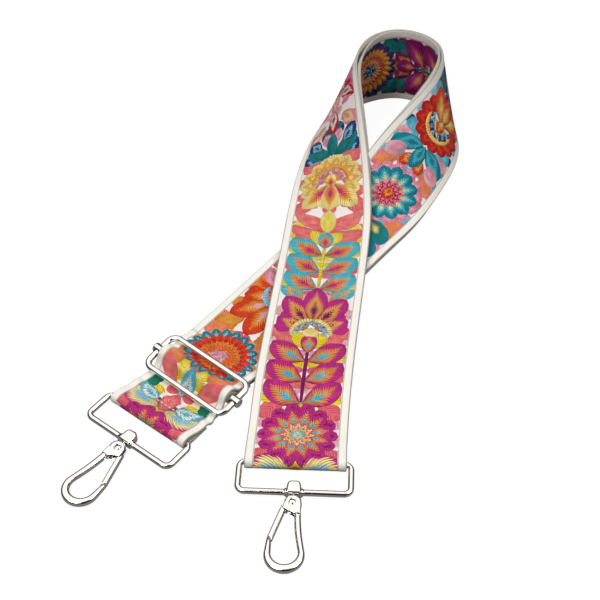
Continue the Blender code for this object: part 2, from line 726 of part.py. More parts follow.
def blade_outline():
    """Spine, bowl and nose as one flat outline."""
    lean = math.radians(SPINE_LEAN_DEG)
    tangent = Vector((math.sin(lean), math.cos(lean)))
    inner_radius = BOWL_RADIUS - HOOK_WIRE
    inner_bowl = (BOWL_ASIDE, HOOK_REACH - BOWL_FLOOR - inner_radius)
    outer_arc = arc((BOWL_ASIDE, BOWL_OUT), BOWL_RADIUS, -SPINE_LEAN_DEG, 184, 15)
    inner_arc = arc(inner_bowl, inner_radius, 180, -SPINE_LEAN_DEG, 12)
    handle = (BOWL_OUT - HEAD_OUT) / 3
    outer_top = (SPINE_ASIDE, HEAD_OUT)
    outer_end = outer_arc[0]
    outer_handle = (outer_end[0] - tangent.x * handle, outer_end[1] - tangent.y * handle)
    outer_spine = bezier(outer_top, (SPINE_ASIDE, HEAD_OUT + handle), outer_handle, outer_end, 6)
    inner_top = (SPINE_INNER_ASIDE, HEAD_OUT + SPRING_DROP)
    inner_end = inner_arc[-1]
    inner_handle = (inner_end[0] - tangent.x * handle, inner_end[1] - tangent.y * handle)
    inner_spine = bezier(inner_end, inner_handle, (SPINE_INNER_ASIDE, inner_top[1] + handle), inner_top, 6)
    notch_outer, notch_inner = notch_points()
    inside_head = [
        (SPINE_INNER_ASIDE, HEAD_OUT - HEAD_RADIUS / 3),
        (SPINE_ASIDE - HEAD_RADIUS / 4, HEAD_OUT - HEAD_RADIUS / 3),
    ]
    nose = [tuple(notch_outer), tuple(notch_inner)]
    return outer_spine[:-1] + outer_arc + nose + inner_arc + inner_spine[1:] + inside_head


def add_hook_body(name, swivel, collection, cutters):
    body = plate(name, (blade_outline(),), HOOK_THICKNESS, HOOK_ROUNDING, collection)
    body.parent = swivel
    body.data.materials.append(metal(name))
    head_outline = arc((HEAD_ASIDE, HEAD_OUT), HEAD_RADIUS, HEAD_FROM_DEG, HEAD_TO_DEG, 16)
    head = plate(name + "_head", (head_outline,), HEAD_THICKNESS, HEAD_ROUNDING, cutters)
    head.parent = swivel
    cut_or_join(body, as_cutter(head), "UNION")

    slot_top = HEAD_OUT - TONGUE_RADIUS - GAP
    slot_bottom = HEAD_OUT + SPRING_DROP + SPRING_RADIUS * 2
    slot_right = PIVOT_ASIDE + TONGUE_RADIUS + GAP
    slot_left = HEAD_ASIDE - 2 * HEAD_RADIUS
    slot_size = (slot_right - slot_left, slot_bottom - slot_top, TONGUE_THICKNESS + 2 * GAP)
    slot = box(name + "_slot", slot_size, cutters)
    slot.location = ((slot_left + slot_right) / 2, (slot_top + slot_bottom) / 2, 0)
    slot.parent = swivel
    cut_or_join(body, as_cutter(slot), "DIFFERENCE")

    post_radius = POST_RADIUS + GAP
    post_end = BOSS_OUTSIDE + GAP + RIVET_SEAT + GAP / 2
    pin_radius = PIN_RADIUS + GAP
    seat_radius = SPRING_RADIUS + SPRING_WIRE / 2 + GAP / 2
    spring_out = HEAD_OUT + SPRING_DROP
    pin_ends = [(PIVOT_ASIDE, HEAD_OUT, side * HEAD_THICKNESS) for side in (-1, 1)]
    quarter = math.radians(90)
    holes = (
        ("post", post_radius, (0, 0, 0), (0, post_end, 0)),
        ("pin", pin_radius, *pin_ends),
        ("seat", seat_radius, (0, spring_out, 0), (slot_right + SPRING_SEAT, spring_out, 0)),
    )
    for hole_name, radius, start, end in holes:
        way = Vector(end) - Vector(start)
        profile = ((0, way.length), (radius, way.length), (radius, 0), (0, 0))
        hole = turned(f"{name}_{hole_name}_hole", profile, 16, cutters)
        hole.location = start
        turns = {0: (0, quarter, 0), 1: (-quarter, 0, 0), 2: (0, 0, 0)}
        hole.rotation_euler = turns[max(range(3), key=lambda axis: abs(way[axis]))]
        hole.parent = swivel
        cut_or_join(body, as_cutter(hole), "DIFFERENCE")


def gate_outlines():
    """Lever and tongue about the gate's pivot."""
    pivot = Vector((PIVOT_ASIDE, HEAD_OUT))
    notch_outer, notch_inner = notch_points()
    slope = (notch_inner - notch_outer).normalized()
    clear = Vector((slope.y, -slope.x)) * GAP
    tip_outer = notch_outer + clear - pivot
    tip_inner = notch_inner + clear - pivot
    tip = (tip_outer + tip_inner) / 2
    lean = math.atan2(-tip.x, tip.y) - math.asin(LEVER_ASIDE / tip.length)
    towards_head = Vector((math.sin(lean), -math.cos(lean)))
    shoulder = HEAD_RADIUS + abs(PIVOT_ASIDE - HEAD_ASIDE) + SHOULDER_CLEARANCE
    corners = []
    for tip in (tip_outer, tip_inner):
        along = -tip.dot(towards_head)
        square = shoulder**2 - (tip + towards_head * along).length_squared
        corners.append(tip + towards_head * (along - math.sqrt(square)))
    start, end = (math.degrees(math.atan2(c.y, c.x)) % 360 for c in corners)
    lever = [tuple(tip_outer), tuple(tip_inner)] + arc((0, 0), shoulder, end, start, 6)

    middle = (corners[0] + corners[1]) / 2 - towards_head * TONGUE_LAP
    half = (corners[0] - corners[1]).length / 2 - LEVER_ROUNDING
    way = math.degrees(math.atan2(middle.y, middle.x))
    side = (corners[1] - corners[0]).normalized() * half
    tongue = arc((0, 0), TONGUE_RADIUS, way + 90, way + 270, 10)
    tongue += [tuple(middle + side), tuple(middle - side)]
    return lever, tongue


def add_gate(name, swivel, collection, cutters):
    lever_outline, tongue_outline = gate_outlines()
    gate = plate(name, (lever_outline,), LEVER_THICKNESS, LEVER_ROUNDING, collection)
    tongue = plate(name + "_tongue", (tongue_outline,), TONGUE_THICKNESS, TONGUE_ROUNDING, cutters)
    reach = LEVER_THICKNESS
    radius = PIN_RADIUS + GAP
    hole = turned(name + "_hole", ((0, reach), (radius, reach), (radius, -reach), (0, -reach)), 16, cutters)
    for piece in (gate, tongue, hole):
        piece.parent = swivel
        piece.location = (PIVOT_ASIDE, HEAD_OUT, 0)
    cut_or_join(gate, as_cutter(tongue), "UNION")
    cut_or_join(gate, as_cutter(hole), "DIFFERENCE")
    gate.data.materials.append(metal(name))


def add_gate_pin(name, swivel, collection):
    under = HEAD_THICKNESS / 2 + GAP / 2
    top = under + PIN_HEAD_HEIGHT
    edge = under + PIN_HEAD_HEIGHT / 2
    half_profile = [
        (0, top),
        (PIN_HEAD_RADIUS * 2 / 3, top),
        (PIN_HEAD_RADIUS, edge),
        (PIN_HEAD_RADIUS, under),
        (PIN_RADIUS, under),
    ]
    profile = half_profile + [(radius, -height) for radius, height in reversed(half_profile)]
    pin = turned(name, profile, 16, collection)
    pin.parent = swivel
    pin.location = (PIVOT_ASIDE, HEAD_OUT, 0)
    pin.data.materials.append(metal(name))


def add_gate_spring(name, swivel, collection):
    """A small coil between the spine's seat and the gate's tongue, with its axis across the hook."""
    start = PIVOT_ASIDE + TONGUE_RADIUS + SPRING_SEAT + GAP - SPRING_WIRE
    end = PIVOT_ASIDE + SPRING_WIRE
    curve = bpy.data.curves.new(name, "CURVE")
    curve.dimensions = "3D"
    curve.bevel_depth = SPRING_WIRE / 2
    curve.bevel_resolution = 1
    curve.use_fill_caps = True
    points_per_turn = 10
    count = SPRING_TURNS * points_per_turn + 1
    spline = curve.splines.new("POLY")
    spline.points.add(count - 1)
    for i, point in enumerate(spline.points):
        angle = 2 * math.pi * i / points_per_turn
        x = start + (end - start) * i / (count - 1)
        point.co = (x, SPRING_RADIUS * math.cos(angle), SPRING_RADIUS * math.sin(angle), 1)
    spring = add_object(name, curve, collection)
    spring.parent = swivel
    spring.location = (0, HEAD_OUT + SPRING_DROP, 0)
    spring.data.materials.append(metal(name))


def add_clasp(side, foot, along, swivel_deg, collection, cutters):
    """Ring, swivel and hook at one end: foot lies on the table below the middle of the ring's far bar."""
    outward = along * -math.cos(CLASP_DROP) - UP * math.sin(CLASP_DROP)
    across = UP.cross(along)
    matrix = axes_matrix(foot + UP * FAR_BAR_HEIGHT, across, outward, across.cross(outward))
    hinge = empty_at(side + "_ring_hinge", matrix, collection)
    turn = Matrix.Translation((0, RING_SPACING, 0)) @ Matrix.Rotation(math.radians(swivel_deg), 4, "Y")
    swivel = empty_at(side + "_swivel", turn, collection, hinge)
    add_ring(side + "_ring", hinge, collection, cutters)
    add_swivel_rivet(side + "_swivel_rivet", swivel, collection)
    add_hook_body(side + "_hook_body", swivel, collection, cutters)
    add_gate(side + "_gate", swivel, collection, cutters)
    add_gate_pin(side + "_gate_pin", swivel, collection)
    add_gate_spring(side + "_gate_spring", swivel, collection)


def main():
    clear_scene()
    collection = new_collection("detachable_bag_strap")
    cutters = new_collection("cutters")
    add_band(collection)
    add_slider(collection, cutters)
    right_along = direction(FRONT_RING_DEG)
    right_foot = front_run_start() + right_along.cross(UP) * (BAND_WIDTH / 2)
    add_clasp("right", right_foot, right_along, 180, collection, cutters)
    slider_foot, left_along, _ = slider_axes()
    add_clasp("left", slider_foot - left_along * SLIDER_TO_RING, left_along, 0, collection, cutters)


main()
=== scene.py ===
"""Looks of a detachable bag strap: woven and embroidered band, plated rings, slider and snap hooks."""

import json
import math

import bmesh
import bpy
import numpy as np
from bpy.props import FloatProperty, FloatVectorProperty, PointerProperty
from mathutils import Matrix, Vector
from mathutils.geometry import interpolate_bezier, intersect_line_line_2d

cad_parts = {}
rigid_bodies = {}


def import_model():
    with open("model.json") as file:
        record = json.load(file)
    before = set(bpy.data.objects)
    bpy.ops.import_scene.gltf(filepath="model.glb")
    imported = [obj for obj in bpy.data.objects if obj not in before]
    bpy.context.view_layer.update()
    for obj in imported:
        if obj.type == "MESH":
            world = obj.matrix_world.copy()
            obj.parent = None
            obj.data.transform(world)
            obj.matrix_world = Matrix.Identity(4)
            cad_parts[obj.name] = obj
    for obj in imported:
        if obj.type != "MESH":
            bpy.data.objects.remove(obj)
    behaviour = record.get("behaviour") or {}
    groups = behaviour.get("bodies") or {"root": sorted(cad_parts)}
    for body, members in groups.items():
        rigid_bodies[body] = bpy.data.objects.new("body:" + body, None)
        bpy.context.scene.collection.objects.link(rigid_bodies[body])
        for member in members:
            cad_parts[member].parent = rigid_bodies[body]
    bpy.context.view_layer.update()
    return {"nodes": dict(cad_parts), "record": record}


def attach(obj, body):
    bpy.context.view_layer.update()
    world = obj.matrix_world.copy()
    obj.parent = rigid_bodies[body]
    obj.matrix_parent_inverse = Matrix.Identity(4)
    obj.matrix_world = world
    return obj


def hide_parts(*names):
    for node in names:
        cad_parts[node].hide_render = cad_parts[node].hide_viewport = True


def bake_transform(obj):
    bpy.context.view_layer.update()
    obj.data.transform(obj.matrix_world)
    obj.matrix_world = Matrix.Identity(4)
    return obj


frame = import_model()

bl_info = {
    "name": "Detachable bag strap",
    "version": (1, 0, 0),
    "blender": (4, 5, 0),
    "location": "View3D > Sidebar > Bag strap",
    "description": "Dresses the bag strap's frame with its woven band, embroidery, metal and stage",
    "category": "Object",
}

MM = 0.001

# The band's route, as the frame has it
BAND_WIDTH = 0.050
BAND_THICKNESS = 0.0016
GAP = 0.0003
CROSSING_X = -0.0028
CROSSING_Y = 0.0353
FRONT_RUN = 0.1593
LOOP_SPAN = 0.150
PAIR_END = 0.00495
FRONT_RUN_DEG = 83.8
FRONT_RING_DEG = 87.4
FRONT_CROSSING_DEG = 83.4
SIDE_RUN_DEG = -126.8
SIDE_START_DEG = -127.1
SIDE_END_DEG = -128.0
CROSSING_RAMP = 0.030
CROSSING_LEAD = 0.002
CORNER_SLACK = 0.0018
SLACK_LENGTH = 0.022
SLACK_PLACE_SHARES = (0.40, 0.68)
BAR_RAMP = 0.025

# The loop's resting edge: its x and y as shares of LOOP_SPAN, its lift as a share of CROSSING_LIFT, how
# many degrees the band is turned up there, and its crown as a share of BAND_WIDTH
LOOP_SHARES = (
    (0.000, 0.000, 1.00, 0.0, 0.000),
    (0.006, 0.055, 1.00, 0.0, 0.000),
    (0.019, 0.164, 0.52, 8.8, -0.012),
    (0.043, 0.329, 0.12, 23.6, -0.012),
    (0.077, 0.493, 0.09, 37.8, 0.000),
    (0.128, 0.654, 0.08, 52.5, 0.020),
    (0.207, 0.803, 0.02, 69.0, 0.036),
    (0.331, 0.915, -0.17, 86.5, 0.026),
    (0.487, 0.967, -0.20, 93.5, 0.002),
    (0.631, 0.894, 0.14, 90.0, 0.008),
    (0.701, 0.744, 0.64, 81.5, 0.020),
    (0.724, 0.578, 1.12, 64.8, 0.032),
    (0.691, 0.413, 1.25, 47.5, 0.038),
    (0.619, 0.261, 0.80, 30.5, 0.060),
    (0.563, 0.163, 0.40, 17.5, 0.062),
    (0.499, 0.072, 0.09, 7.0, 0.038),
    (0.430, -0.015, 0.03, 1.0, 0.004),
    (0.363, -0.101, 0.00, 0.0, 0.000),
)

# Rings and hooks, in the plane of each
RING_SPACING = 0.0172
RING_EDGE_CLEARANCE = 0.0008
RING_BAR = 0.0030
RING_CORNER = 0.0035
RING_FOLD_CORNER = 0.0005
RING_ROUNDING = 0.00125
BOSS_RADIUS = 0.0030
BOSS_INSIDE = 0.0035
BOSS_OUTSIDE = 0.0020
BOSS_COLLAR_RADIUS = 0.0021
BOSS_COLLAR_HALF = 0.0046
POST_RADIUS = 0.0012
RIVET_HEAD_RADIUS = 0.0026
RIVET_HEAD_HEIGHT = 0.0015
RIVET_SEAT = 0.0016
HOOK_REACH = 0.0440
HOOK_THICKNESS = 0.0035
HOOK_ROUNDING = 0.0013
BOWL_RADIUS = 0.0095
BOWL_ASIDE = -0.0028
BOWL_FLOOR = 0.0042
HOOK_WIRE = 0.0032
SPINE_LEAN_DEG = 12.0
SPINE_ASIDE = 0.0039
SPINE_INNER_ASIDE = 0.0009
NOSE_LENGTH = 0.0091
NOSE_LEAN = 0.0010
NOTCH_RISE = 0.0023
HEAD_RADIUS = 0.0042
HEAD_THICKNESS = 0.0048
HEAD_ROUNDING = 0.0011
HEAD_ASIDE = -0.0001
HEAD_FROM_DEG = 165.0
HEAD_TO_DEG = 425.0
PIVOT_ASIDE = -0.0005
PIN_RADIUS = 0.0008
PIN_HEAD_RADIUS = 0.0017
PIN_HEAD_HEIGHT = 0.00025
TONGUE_RADIUS = 0.0020
TONGUE_THICKNESS = 0.0014
TONGUE_LAP = 0.0024
LEVER_THICKNESS = 0.0031
LEVER_ROUNDING = 0.0008
LEVER_ASIDE = 0.00296
SHOULDER_CLEARANCE = 0.0003
SPRING_DROP = 0.0032

# Slider
SLIDER_TO_RING = 0.0355
SLIDER_REACH = 0.0160
SLIDER_SPACING = 0.0222
SLIDER_BAR_WIDTH = 0.0033
SLIDER_BAR_HEIGHT = 0.0030
SLIDER_EDGE_CLEARANCE = 0.0005
SLIDER_CORNER = 0.0045
SLIDER_ROUNDING = 0.0013
SLIDER_SKEW_DEG = -2.5
SLIDER_LIFT = 0.0002
CENTRE_BAR_RADIUS = 0.0015
EYE_RADIUS = 0.0027
EYE_WALL = 0.0006
EYE_OUTER_WALL = 0.0011
EYE_ROUNDING = 0.0006
BAND_DRAW = 0.0008
SKEW_LENGTH = 0.0032
SLIDER_RAMP = 0.0055
REACH_LEAD = 0.0005
BIGHT_START_DEG = 52.0
BIGHT_END_DEG = 160.0
BIGHT_FOOT = 0.0092
BIGHT_HANDLE = 0.0034
SEWN_TAIL = 0.0145
TAIL_FOOT = 0.0075
SEAM_FROM_FOLD = 0.0120
FOLD_TAIL = 0.0145
TAIL_STEP = 0.0046

# Steps in which the band is drawn: round a ring's bar, over and under the slider's centre bar, up to it
# and down from it, along a flat stretch, down to the sewn end and along it, and down from or level on the
# layer below
FOLD_STEPS = 16
OVER_STEPS = 18
UNDER_STEPS = 14
RISE_STEPS = 12
FALL_STEPS = 16
FLAT_STEPS = 5
SEWN_DROP_STEPS = 8
SEWN_FLAT_STEPS = 4
STEP_DOWN_STEPS = 10
LEVEL_STEPS = 2

# Values that follow from the sizes above
LAYER = BAND_THICKNESS + GAP
LAYER_MID = BAND_THICKNESS / 2
PAIR_MID = LAYER_MID + LAYER / 2
CROSSING_LIFT = 2 * LAYER
FAR_BAR_HEIGHT = BAND_THICKNESS + GAP + RING_BAR / 2
WRAP_RADIUS = RING_BAR / 2 + GAP + LAYER_MID
RING_WIDTH = BAND_WIDTH + 2 * RING_EDGE_CLEARANCE + RING_BAR
SLIDER_WIDTH = BAND_WIDTH + 2 * SLIDER_EDGE_CLEARANCE + SLIDER_BAR_WIDTH
LOW_BAR_HEIGHT = LAYER + SLIDER_LIFT + SLIDER_BAR_HEIGHT / 2
HIGH_BAR_HEIGHT = 3 * LAYER + SLIDER_BAR_HEIGHT / 2
SLIDER_TILT = math.asin((HIGH_BAR_HEIGHT - LOW_BAR_HEIGHT) / SLIDER_SPACING)
CENTRE_BAR_HEIGHT = (HIGH_BAR_HEIGHT + LOW_BAR_HEIGHT) / 2
INNER_WRAP = CENTRE_BAR_RADIUS + GAP + LAYER_MID
OUTER_WRAP = INNER_WRAP + LAYER
HEAD_OUT = BOSS_OUTSIDE + GAP + HEAD_RADIUS
BOWL_OUT = HOOK_REACH - BOWL_RADIUS
UP = Vector((0, 0, 1))

# Distance from the slider's centre bar at which the long piece parts from its neighbours
BLEND_FAR = 0.024

# The band's visible pieces in their order along it: the node that each stands for, and what it rests on
SHEETS = {
    "band_left_end": ("band_ring_end", ["left_ring", "slider_frame"]),
    "band_over_slider": ("band_bight", ["slider_centre_bar"]),
    "band_long": ("band_main", ["right_ring"]),
    "band_sewn_end": ("band_sewn_end", ["slider_centre_bar"]),
}

# The ring's boss: its half width in shares of BOSS_RADIUS with the distance inside the ring in shares of
# BOSS_INSIDE, how much those half widths are spread, and how large the rivet's head is against the frame's
BELL_SHARES = ((1.0, -0.55), (0.97, 0.1), (0.92, 0.75), (0.84, 1.2), (0.68, 1.46), (0.42, 1.58))
BELL_SPREAD = 1.27
BELL_THICKNESS = 0.0056
BELL_ROUNDING = 0.0012
STUD_SHARE = 0.45

# Cheeks of the hook's head that cover the gate's shoulder, the share of the head's radius that they reach
# aside, and the recess round the gate's rivet
CHEEK_DROP = 0.0024
CHEEK_SLOPE = 0.0016
CHEEK_SPREAD = 1.12
CHEEK_CLEARANCE = 0.00025
RIVET_RECESS = 0.00050
RIVET_MOAT = 0.00020
RIVET_CHAMFER = 0.00045

# Steps across the rounded edge of a flat piece, the turn above which an edge stays sharp, and the share
# of the casting grain that suits small pieces
EDGE_STEPS = 4
SHARP_DEG = 50
SMALL_GRAIN = 0.8

# The seam: how far its stitches are raised to lie on the embroidery, how many it leaves out at each edge,
# and the length and height of one as shares of its pitch and width
SEAM_RISE = 0.00014
SEAM_MARGIN = 2
STITCH_LENGTH = 0.8
STITCH_HEIGHT = 0.8

# How far past a piece's end its embroidery may reach
OVERHANG = 0.018

# Where the band's surface has points, in millimetres from its edge as far as its middle
EDGE_PLACES_MM = (
    0, 0.1, 0.3, 0.65, 1.1, 2.2, 3.3, 3.75, 4.2, 4.65, 5.1,
    7, 9.25, 11.5, 13.75, 16, 18.25, 20.5, 22.75,
)

# The selvedge's groove: its place from the edge, the width of the slope there, and half its own width
SELVEDGE_GROOVE = 4.2 * MM
SELVEDGE_SLOPE = 0.5 * MM
GROOVE_HALF = 0.35 * MM

# Half the width of the embroidered field and how deep a petal's rim is set, in millimetres, and the share
# of a petal's half width over which it is domed
FIELD_HALF = 20.4
SUNK = 0.03
RIM_SHARE = 0.93

# A petal's shape where its motif says nothing else: the place of its widest part, how its ends narrow,
# its bend in degrees, its layer, its fewest steps, and how far its stitches slant
PETAL_SHAPE = {"belly": 0.55, "blunt": 0.6, "bend": 0.0, "layer": 0, "steps": 5, "slant": 1.0}
MOST_STEPS = 60

# The least share of its width at a petal's ends, and how its dome rises from them
LEAST_WIDTH = 0.02
END_HEIGHT = 0.15
END_RISE = 6

# Petals in turn lie slightly higher, and each has its own place in the thread's pattern
PETAL_TURNS = 5
PATTERN_STEP = 7.31
PATTERN_LENGTH = 97

# In millimetres: a petal's longest face, that of one over a sharp bend, and where along the band those
# bends are
GRAIN = 1.6
FINE_GRAIN = 0.5
SHARP_BENDS = ((-9, 9), (612, 670), (686, 734))

# The rows and stitches of a chain in millimetres, how much longer than its place a stitch is, and its slant
CHAIN_PITCH = 1.15
CHAIN_STITCH = 2.2
CHAIN_OVERLAP = 1.3
CHAIN_SLANT_DEG = 24

# An arch of thread keeps its width to its ends, and is drawn in at least this many steps
ARCH_BLUNT = 0.12
ARCH_STEPS = 22

# Small leaves under the motifs, in millimetres: their spacing, their rows, how far a root is below its
# row, their length, width and layer. In degrees: their two leans and how much those vary. Then the share
# left out, and how many seeds there are for their random draws
LEAF_SPACING = 6.4
LEAF_ROWS = (3.5, 10.0, 16.5)
LEAF_DROP = 3.0
LEAF_LENGTH = 9.4
LEAF_WIDTH = 6.6
LEAF_LAYER = -0.3
LEAF_LEANS_DEG = (48, 96)
LEAF_VARIATION_DEG = 30
LEAVES_LEFT_OUT = 0.28
LEAF_SEEDS = 1000

# A petal's colours from its rim inwards
PETAL_PARTS = ("outer", "middle", "inner")

# Thread colours, as linear red, green and blue
THREADS = {
    "magenta": (0.60, 0.034, 0.25),
    "plum": (0.28, 0.008, 0.140),
    "orange": (0.93, 0.30, 0.035),
    "amber": (0.88, 0.42, 0.07),
    "cyan": (0.08, 0.55, 0.66),
    "sky": (0.26, 0.62, 0.80),
    "coral": (0.92, 0.16, 0.19),
    "salmon": (0.93, 0.26, 0.21),
    "yellow": (0.95, 0.74, 0.03),
    "straw": (0.95, 0.76, 0.27),
    "pink": (0.93, 0.27, 0.42),
    "blush": (0.94, 0.50, 0.54),
    "red": (0.60, 0.012, 0.015),
    "scarlet": (0.83, 0.060, 0.018),
    "navy": (0.016, 0.045, 0.19),
    "teal": (0.010, 0.25, 0.33),
    "green": (0.010, 0.21, 0.13),
    "white": (0.90, 0.89, 0.86),
    "ice": (0.58, 0.78, 0.83),
}

# Woven ground: half the width of the painted shade in the selvedge's groove, the width of the painted
# shadow along the band's rim, how dark each is, and how much the weave, the speckle and the broad blotches
# change the colour
GROOVE_SHADE_HALF = 0.00028
RIM_SHADE_WIDTH = 0.00060
GROOVE_SHADE_STRENGTH = 0.75
RIM_SHADE_STRENGTH = 0.85
WEAVE_SHADE = 0.05
SPECKLE_SHADE = 0.10
BLOTCH_SHADE = 0.93

# Satin colours: how far the middle and inner ones reach, where along a petal they are centred, how much
# sooner they end towards its tip, root and side, how sharply, and how uneven their edge is
MIDDLE_REACH = 0.66
INNER_REACH = 0.29
CENTRE_PLACE = 0.38
TIP_RATE = 1.45
ROOT_RATE = 0.9
SIDE_RATE = 0.85
COLOUR_SHARPNESS = 22.0
UNEVENNESS = 0.6

# Satin threads: how slowly bundles vary and threads wander, where the painted shade in a bundle's groove
# starts and how many are deep, brightness with its painted light and shade over a thread and its change over
# a bundle, where the painted shade along a petal's rim starts, and heights against a thread's
BUNDLE_RATE = 0.21
WANDER = 1.4
GROOVE_EDGE = 0.74
DEEP_EDGE = 0.40
THREAD_LEVEL = 1.10
THREAD_CONTRAST = 0.13
BUNDLE_CONTRAST = 0.32
RIM_SHADE_EDGE = 0.93
FINE_HEIGHT = 1.2
GROOVE_HEIGHT = 1.5

# Metal: roughness of the plating and of the springs' wire, and how much the haze changes roughness and
# colour
PLATE_ROUGHNESS = 0.10
WIRE_ROUGHNESS = 0.25
HAZE_ROUGHNESS = 0.06
HAZE_SHADE = 0.96

# Room: how sharply its bright and dark parts end, the way to the dark part, where that starts and how
# dark it is, the least light from any way, how far the floor is below the strap, and the width of the
# camera's sensor
SKY_SHARPNESS = 14.0
DARK_WAY = (0.0, -0.90, 0.44)
DARK_EDGE = 0.50
DARK_SHARE = 0.98
LEAST_SKY = 0.02
FLOOR_DROP = 0.00005
SENSOR_WIDTH = 36.0


def smooth_step(value):
    t = min(max(value, 0.0), 1.0)
    return t * t * (3 - 2 * t)


def direction(degrees):
    return Vector((math.cos(math.radians(degrees)), math.sin(math.radians(degrees)), 0))


def arc(centre, radius, start_deg, end_deg, steps):
    angles = np.radians(np.linspace(start_deg, end_deg, steps + 1))
    return [(centre[0] + radius * math.cos(a), centre[1] + radius * math.sin(a)) for a in angles]


def bezier(start, start_handle, end_handle, end, steps):
    points = [Vector((*p, 0)) for p in (start, start_handle, end_handle, end)]
    return [(p.x, p.y) for p in interpolate_bezier(*points, steps + 1)]


# The band's route


class Station:
    """One line across the band: its resting edge, the way to its other edge, and how each layer stands."""

    def __init__(self, edge, across, crown=0.0, outer_rise=0.0, inner_rise=0.0, slack=0.0):
        self.edge = edge
        self.across = across
        self.crown = crown
        self.outer_rise = outer_rise
        self.inner_rise = inner_rise
        self.slack = slack


def natural_spline(knots, values, places):
    knots = np.asarray(knots, float)
    values = np.asarray(values, float)
    step = np.diff(knots)
    slope = np.diff(values, axis=0) / step[:, None]
    matrix = np.eye(len(knots))
    right = np.zeros_like(values)
    for i in range(1, len(knots) - 1):
        matrix[i, i - 1 : i + 2] = step[i - 1], 2 * (step[i - 1] + step[i]), step[i]
        right[i] = 6 * (slope[i] - slope[i - 1])
    bend = np.linalg.solve(matrix, right)
    index = np.clip(np.searchsorted(knots, places) - 1, 0, len(step) - 1)
    h = step[index][:, None]
    a = (knots[index + 1][:, None] - places[:, None]) / h
    b = 1 - a
    curved = (a**3 - a) * bend[index] + (b**3 - b) * bend[index + 1]
    return a * values[index] + b * values[index + 1] + curved * h * h / 6


def run_points(start, end, start_deg, end_deg, places):
    third = (end - start).length / 3
    corners = (start, start + direction(start_deg) * third, end - direction(end_deg) * third, end)
    points = []
    for t in places:
        weights = ((1 - t) ** 3, 3 * t * (1 - t) ** 2, 3 * t * t * (1 - t), t**3)
        point = sum((corner * weight for corner, weight in zip(corners, weights)), Vector())
        points.append((point, direction(start_deg + (end_deg - start_deg) * t)))
    return points


def front_run_start():
    return Vector((CROSSING_X, CROSSING_Y, 0)) - direction(FRONT_RUN_DEG) * FRONT_RUN


def loop_end():
    x_share, y_share = LOOP_SHARES[-1][:2]
    return Vector((CROSSING_X + x_share * LOOP_SPAN, CROSSING_Y + y_share * LOOP_SPAN, 0))


def runs_meeting():
    front = front_run_start()
    crossing = Vector((CROSSING_X, CROSSING_Y, 0))
    side = loop_end()
    beneath = side + direction(SIDE_RUN_DEG) * FRONT_RUN
    return Vector((*intersect_line_line_2d(front.xy, crossing.xy, side.xy, beneath.xy), 0))


def side_run_end():
    return runs_meeting() + direction(SIDE_RUN_DEG) * PAIR_END


def front_stations(step):
    start = front_run_start()
    crossing = Vector((CROSSING_X, CROSSING_Y, 0))
    climb_end = (runs_meeting() - start).length - CROSSING_LEAD
    places = np.linspace(0, 1, round(FRONT_RUN / step) + 1)[:-1]
    stations = []
    for point, heading in run_points(start, crossing, FRONT_RING_DEG, FRONT_CROSSING_DEG, places):
        done = (point - start).length
        climb = smooth_step((done - climb_end + CROSSING_RAMP) / CROSSING_RAMP)
        over_bar = (FAR_BAR_HEIGHT + WRAP_RADIUS - PAIR_MID - LAYER / 2) * (1 - smooth_step(done / BAR_RAMP))
        edge = point + UP * (PAIR_MID + CROSSING_LIFT * climb)
        stations.append(Station(edge, heading.cross(UP), outer_rise=over_bar))
    return stations


def loop_stations(step):
    rows = np.array(LOOP_SHARES)
    x = CROSSING_X + rows[:, 0] * LOOP_SPAN
    y = CROSSING_Y + rows[:, 1] * LOOP_SPAN
    places = np.column_stack([x, y, PAIR_MID + rows[:, 2] * CROSSING_LIFT])
    knots = np.concatenate([[0], np.cumsum(np.linalg.norm(np.diff(places, axis=0), axis=1))])
    at = np.linspace(0, knots[-1], round(knots[-1] / step) + 1)
    edges = natural_spline(knots, places, at)
    turns = natural_spline(knots, np.radians(rows[:, 3:4]), at)[:, 0]
    crowns = natural_spline(knots, rows[:, 4:5] * BAND_WIDTH, at)[:, 0]
    headings = np.gradient(edges, at, axis=0)
    stations = []
    for edge, heading, turn, crown, place in zip(edges, headings, turns, crowns, at):
        ahead = Vector(heading).normalized()
        aside = ahead.cross(UP).normalized()
        across = aside * math.cos(turn) + aside.cross(ahead) * math.sin(turn)
        off = [(place / knots[-1] - share) * knots[-1] / SLACK_LENGTH for share in SLACK_PLACE_SHARES]
        slack = CORNER_SLACK * sum(math.exp(-x * x) for x in off)
        stations.append(Station(Vector(edge), across, crown, slack=slack))
    return stations


def side_stations(step):
    start = loop_end()
    end = side_run_end()
    places = np.linspace(0, 1, round((end - start).length / step) + 1)[1:]
    stations = []
    for point, heading in run_points(start, end, SIDE_START_DEG, SIDE_END_DEG, places):
        left = (end - point).length
        rise = LAYER * (1 - smooth_step((left - REACH_LEAD) / SLIDER_RAMP))
        edge = point + UP * PAIR_MID
        stations.append(Station(edge, heading.cross(UP), outer_rise=rise, inner_rise=rise))
    return stations


def column_shares():
    """Shares of the band's width at which its surface has points."""
    near = [place * MM / BAND_WIDTH for place in EDGE_PLACES_MM]
    return near + [0.5] + [1 - share for share in reversed(near)]


def layer_row(station, normal, offset, slack=0.0):
    """Points across one layer, arched by its crown as a parabola that is as long as the band is wide."""
    chord = BAND_WIDTH * (1 - 8 / 3 * (station.crown / BAND_WIDTH) ** 2)
    row = []
    for share in column_shares():
        lift = station.crown * 4 * share * (1 - share) + offset - slack * share
        row.append(station.edge + station.across * (chord * share) + normal * lift)
    return row


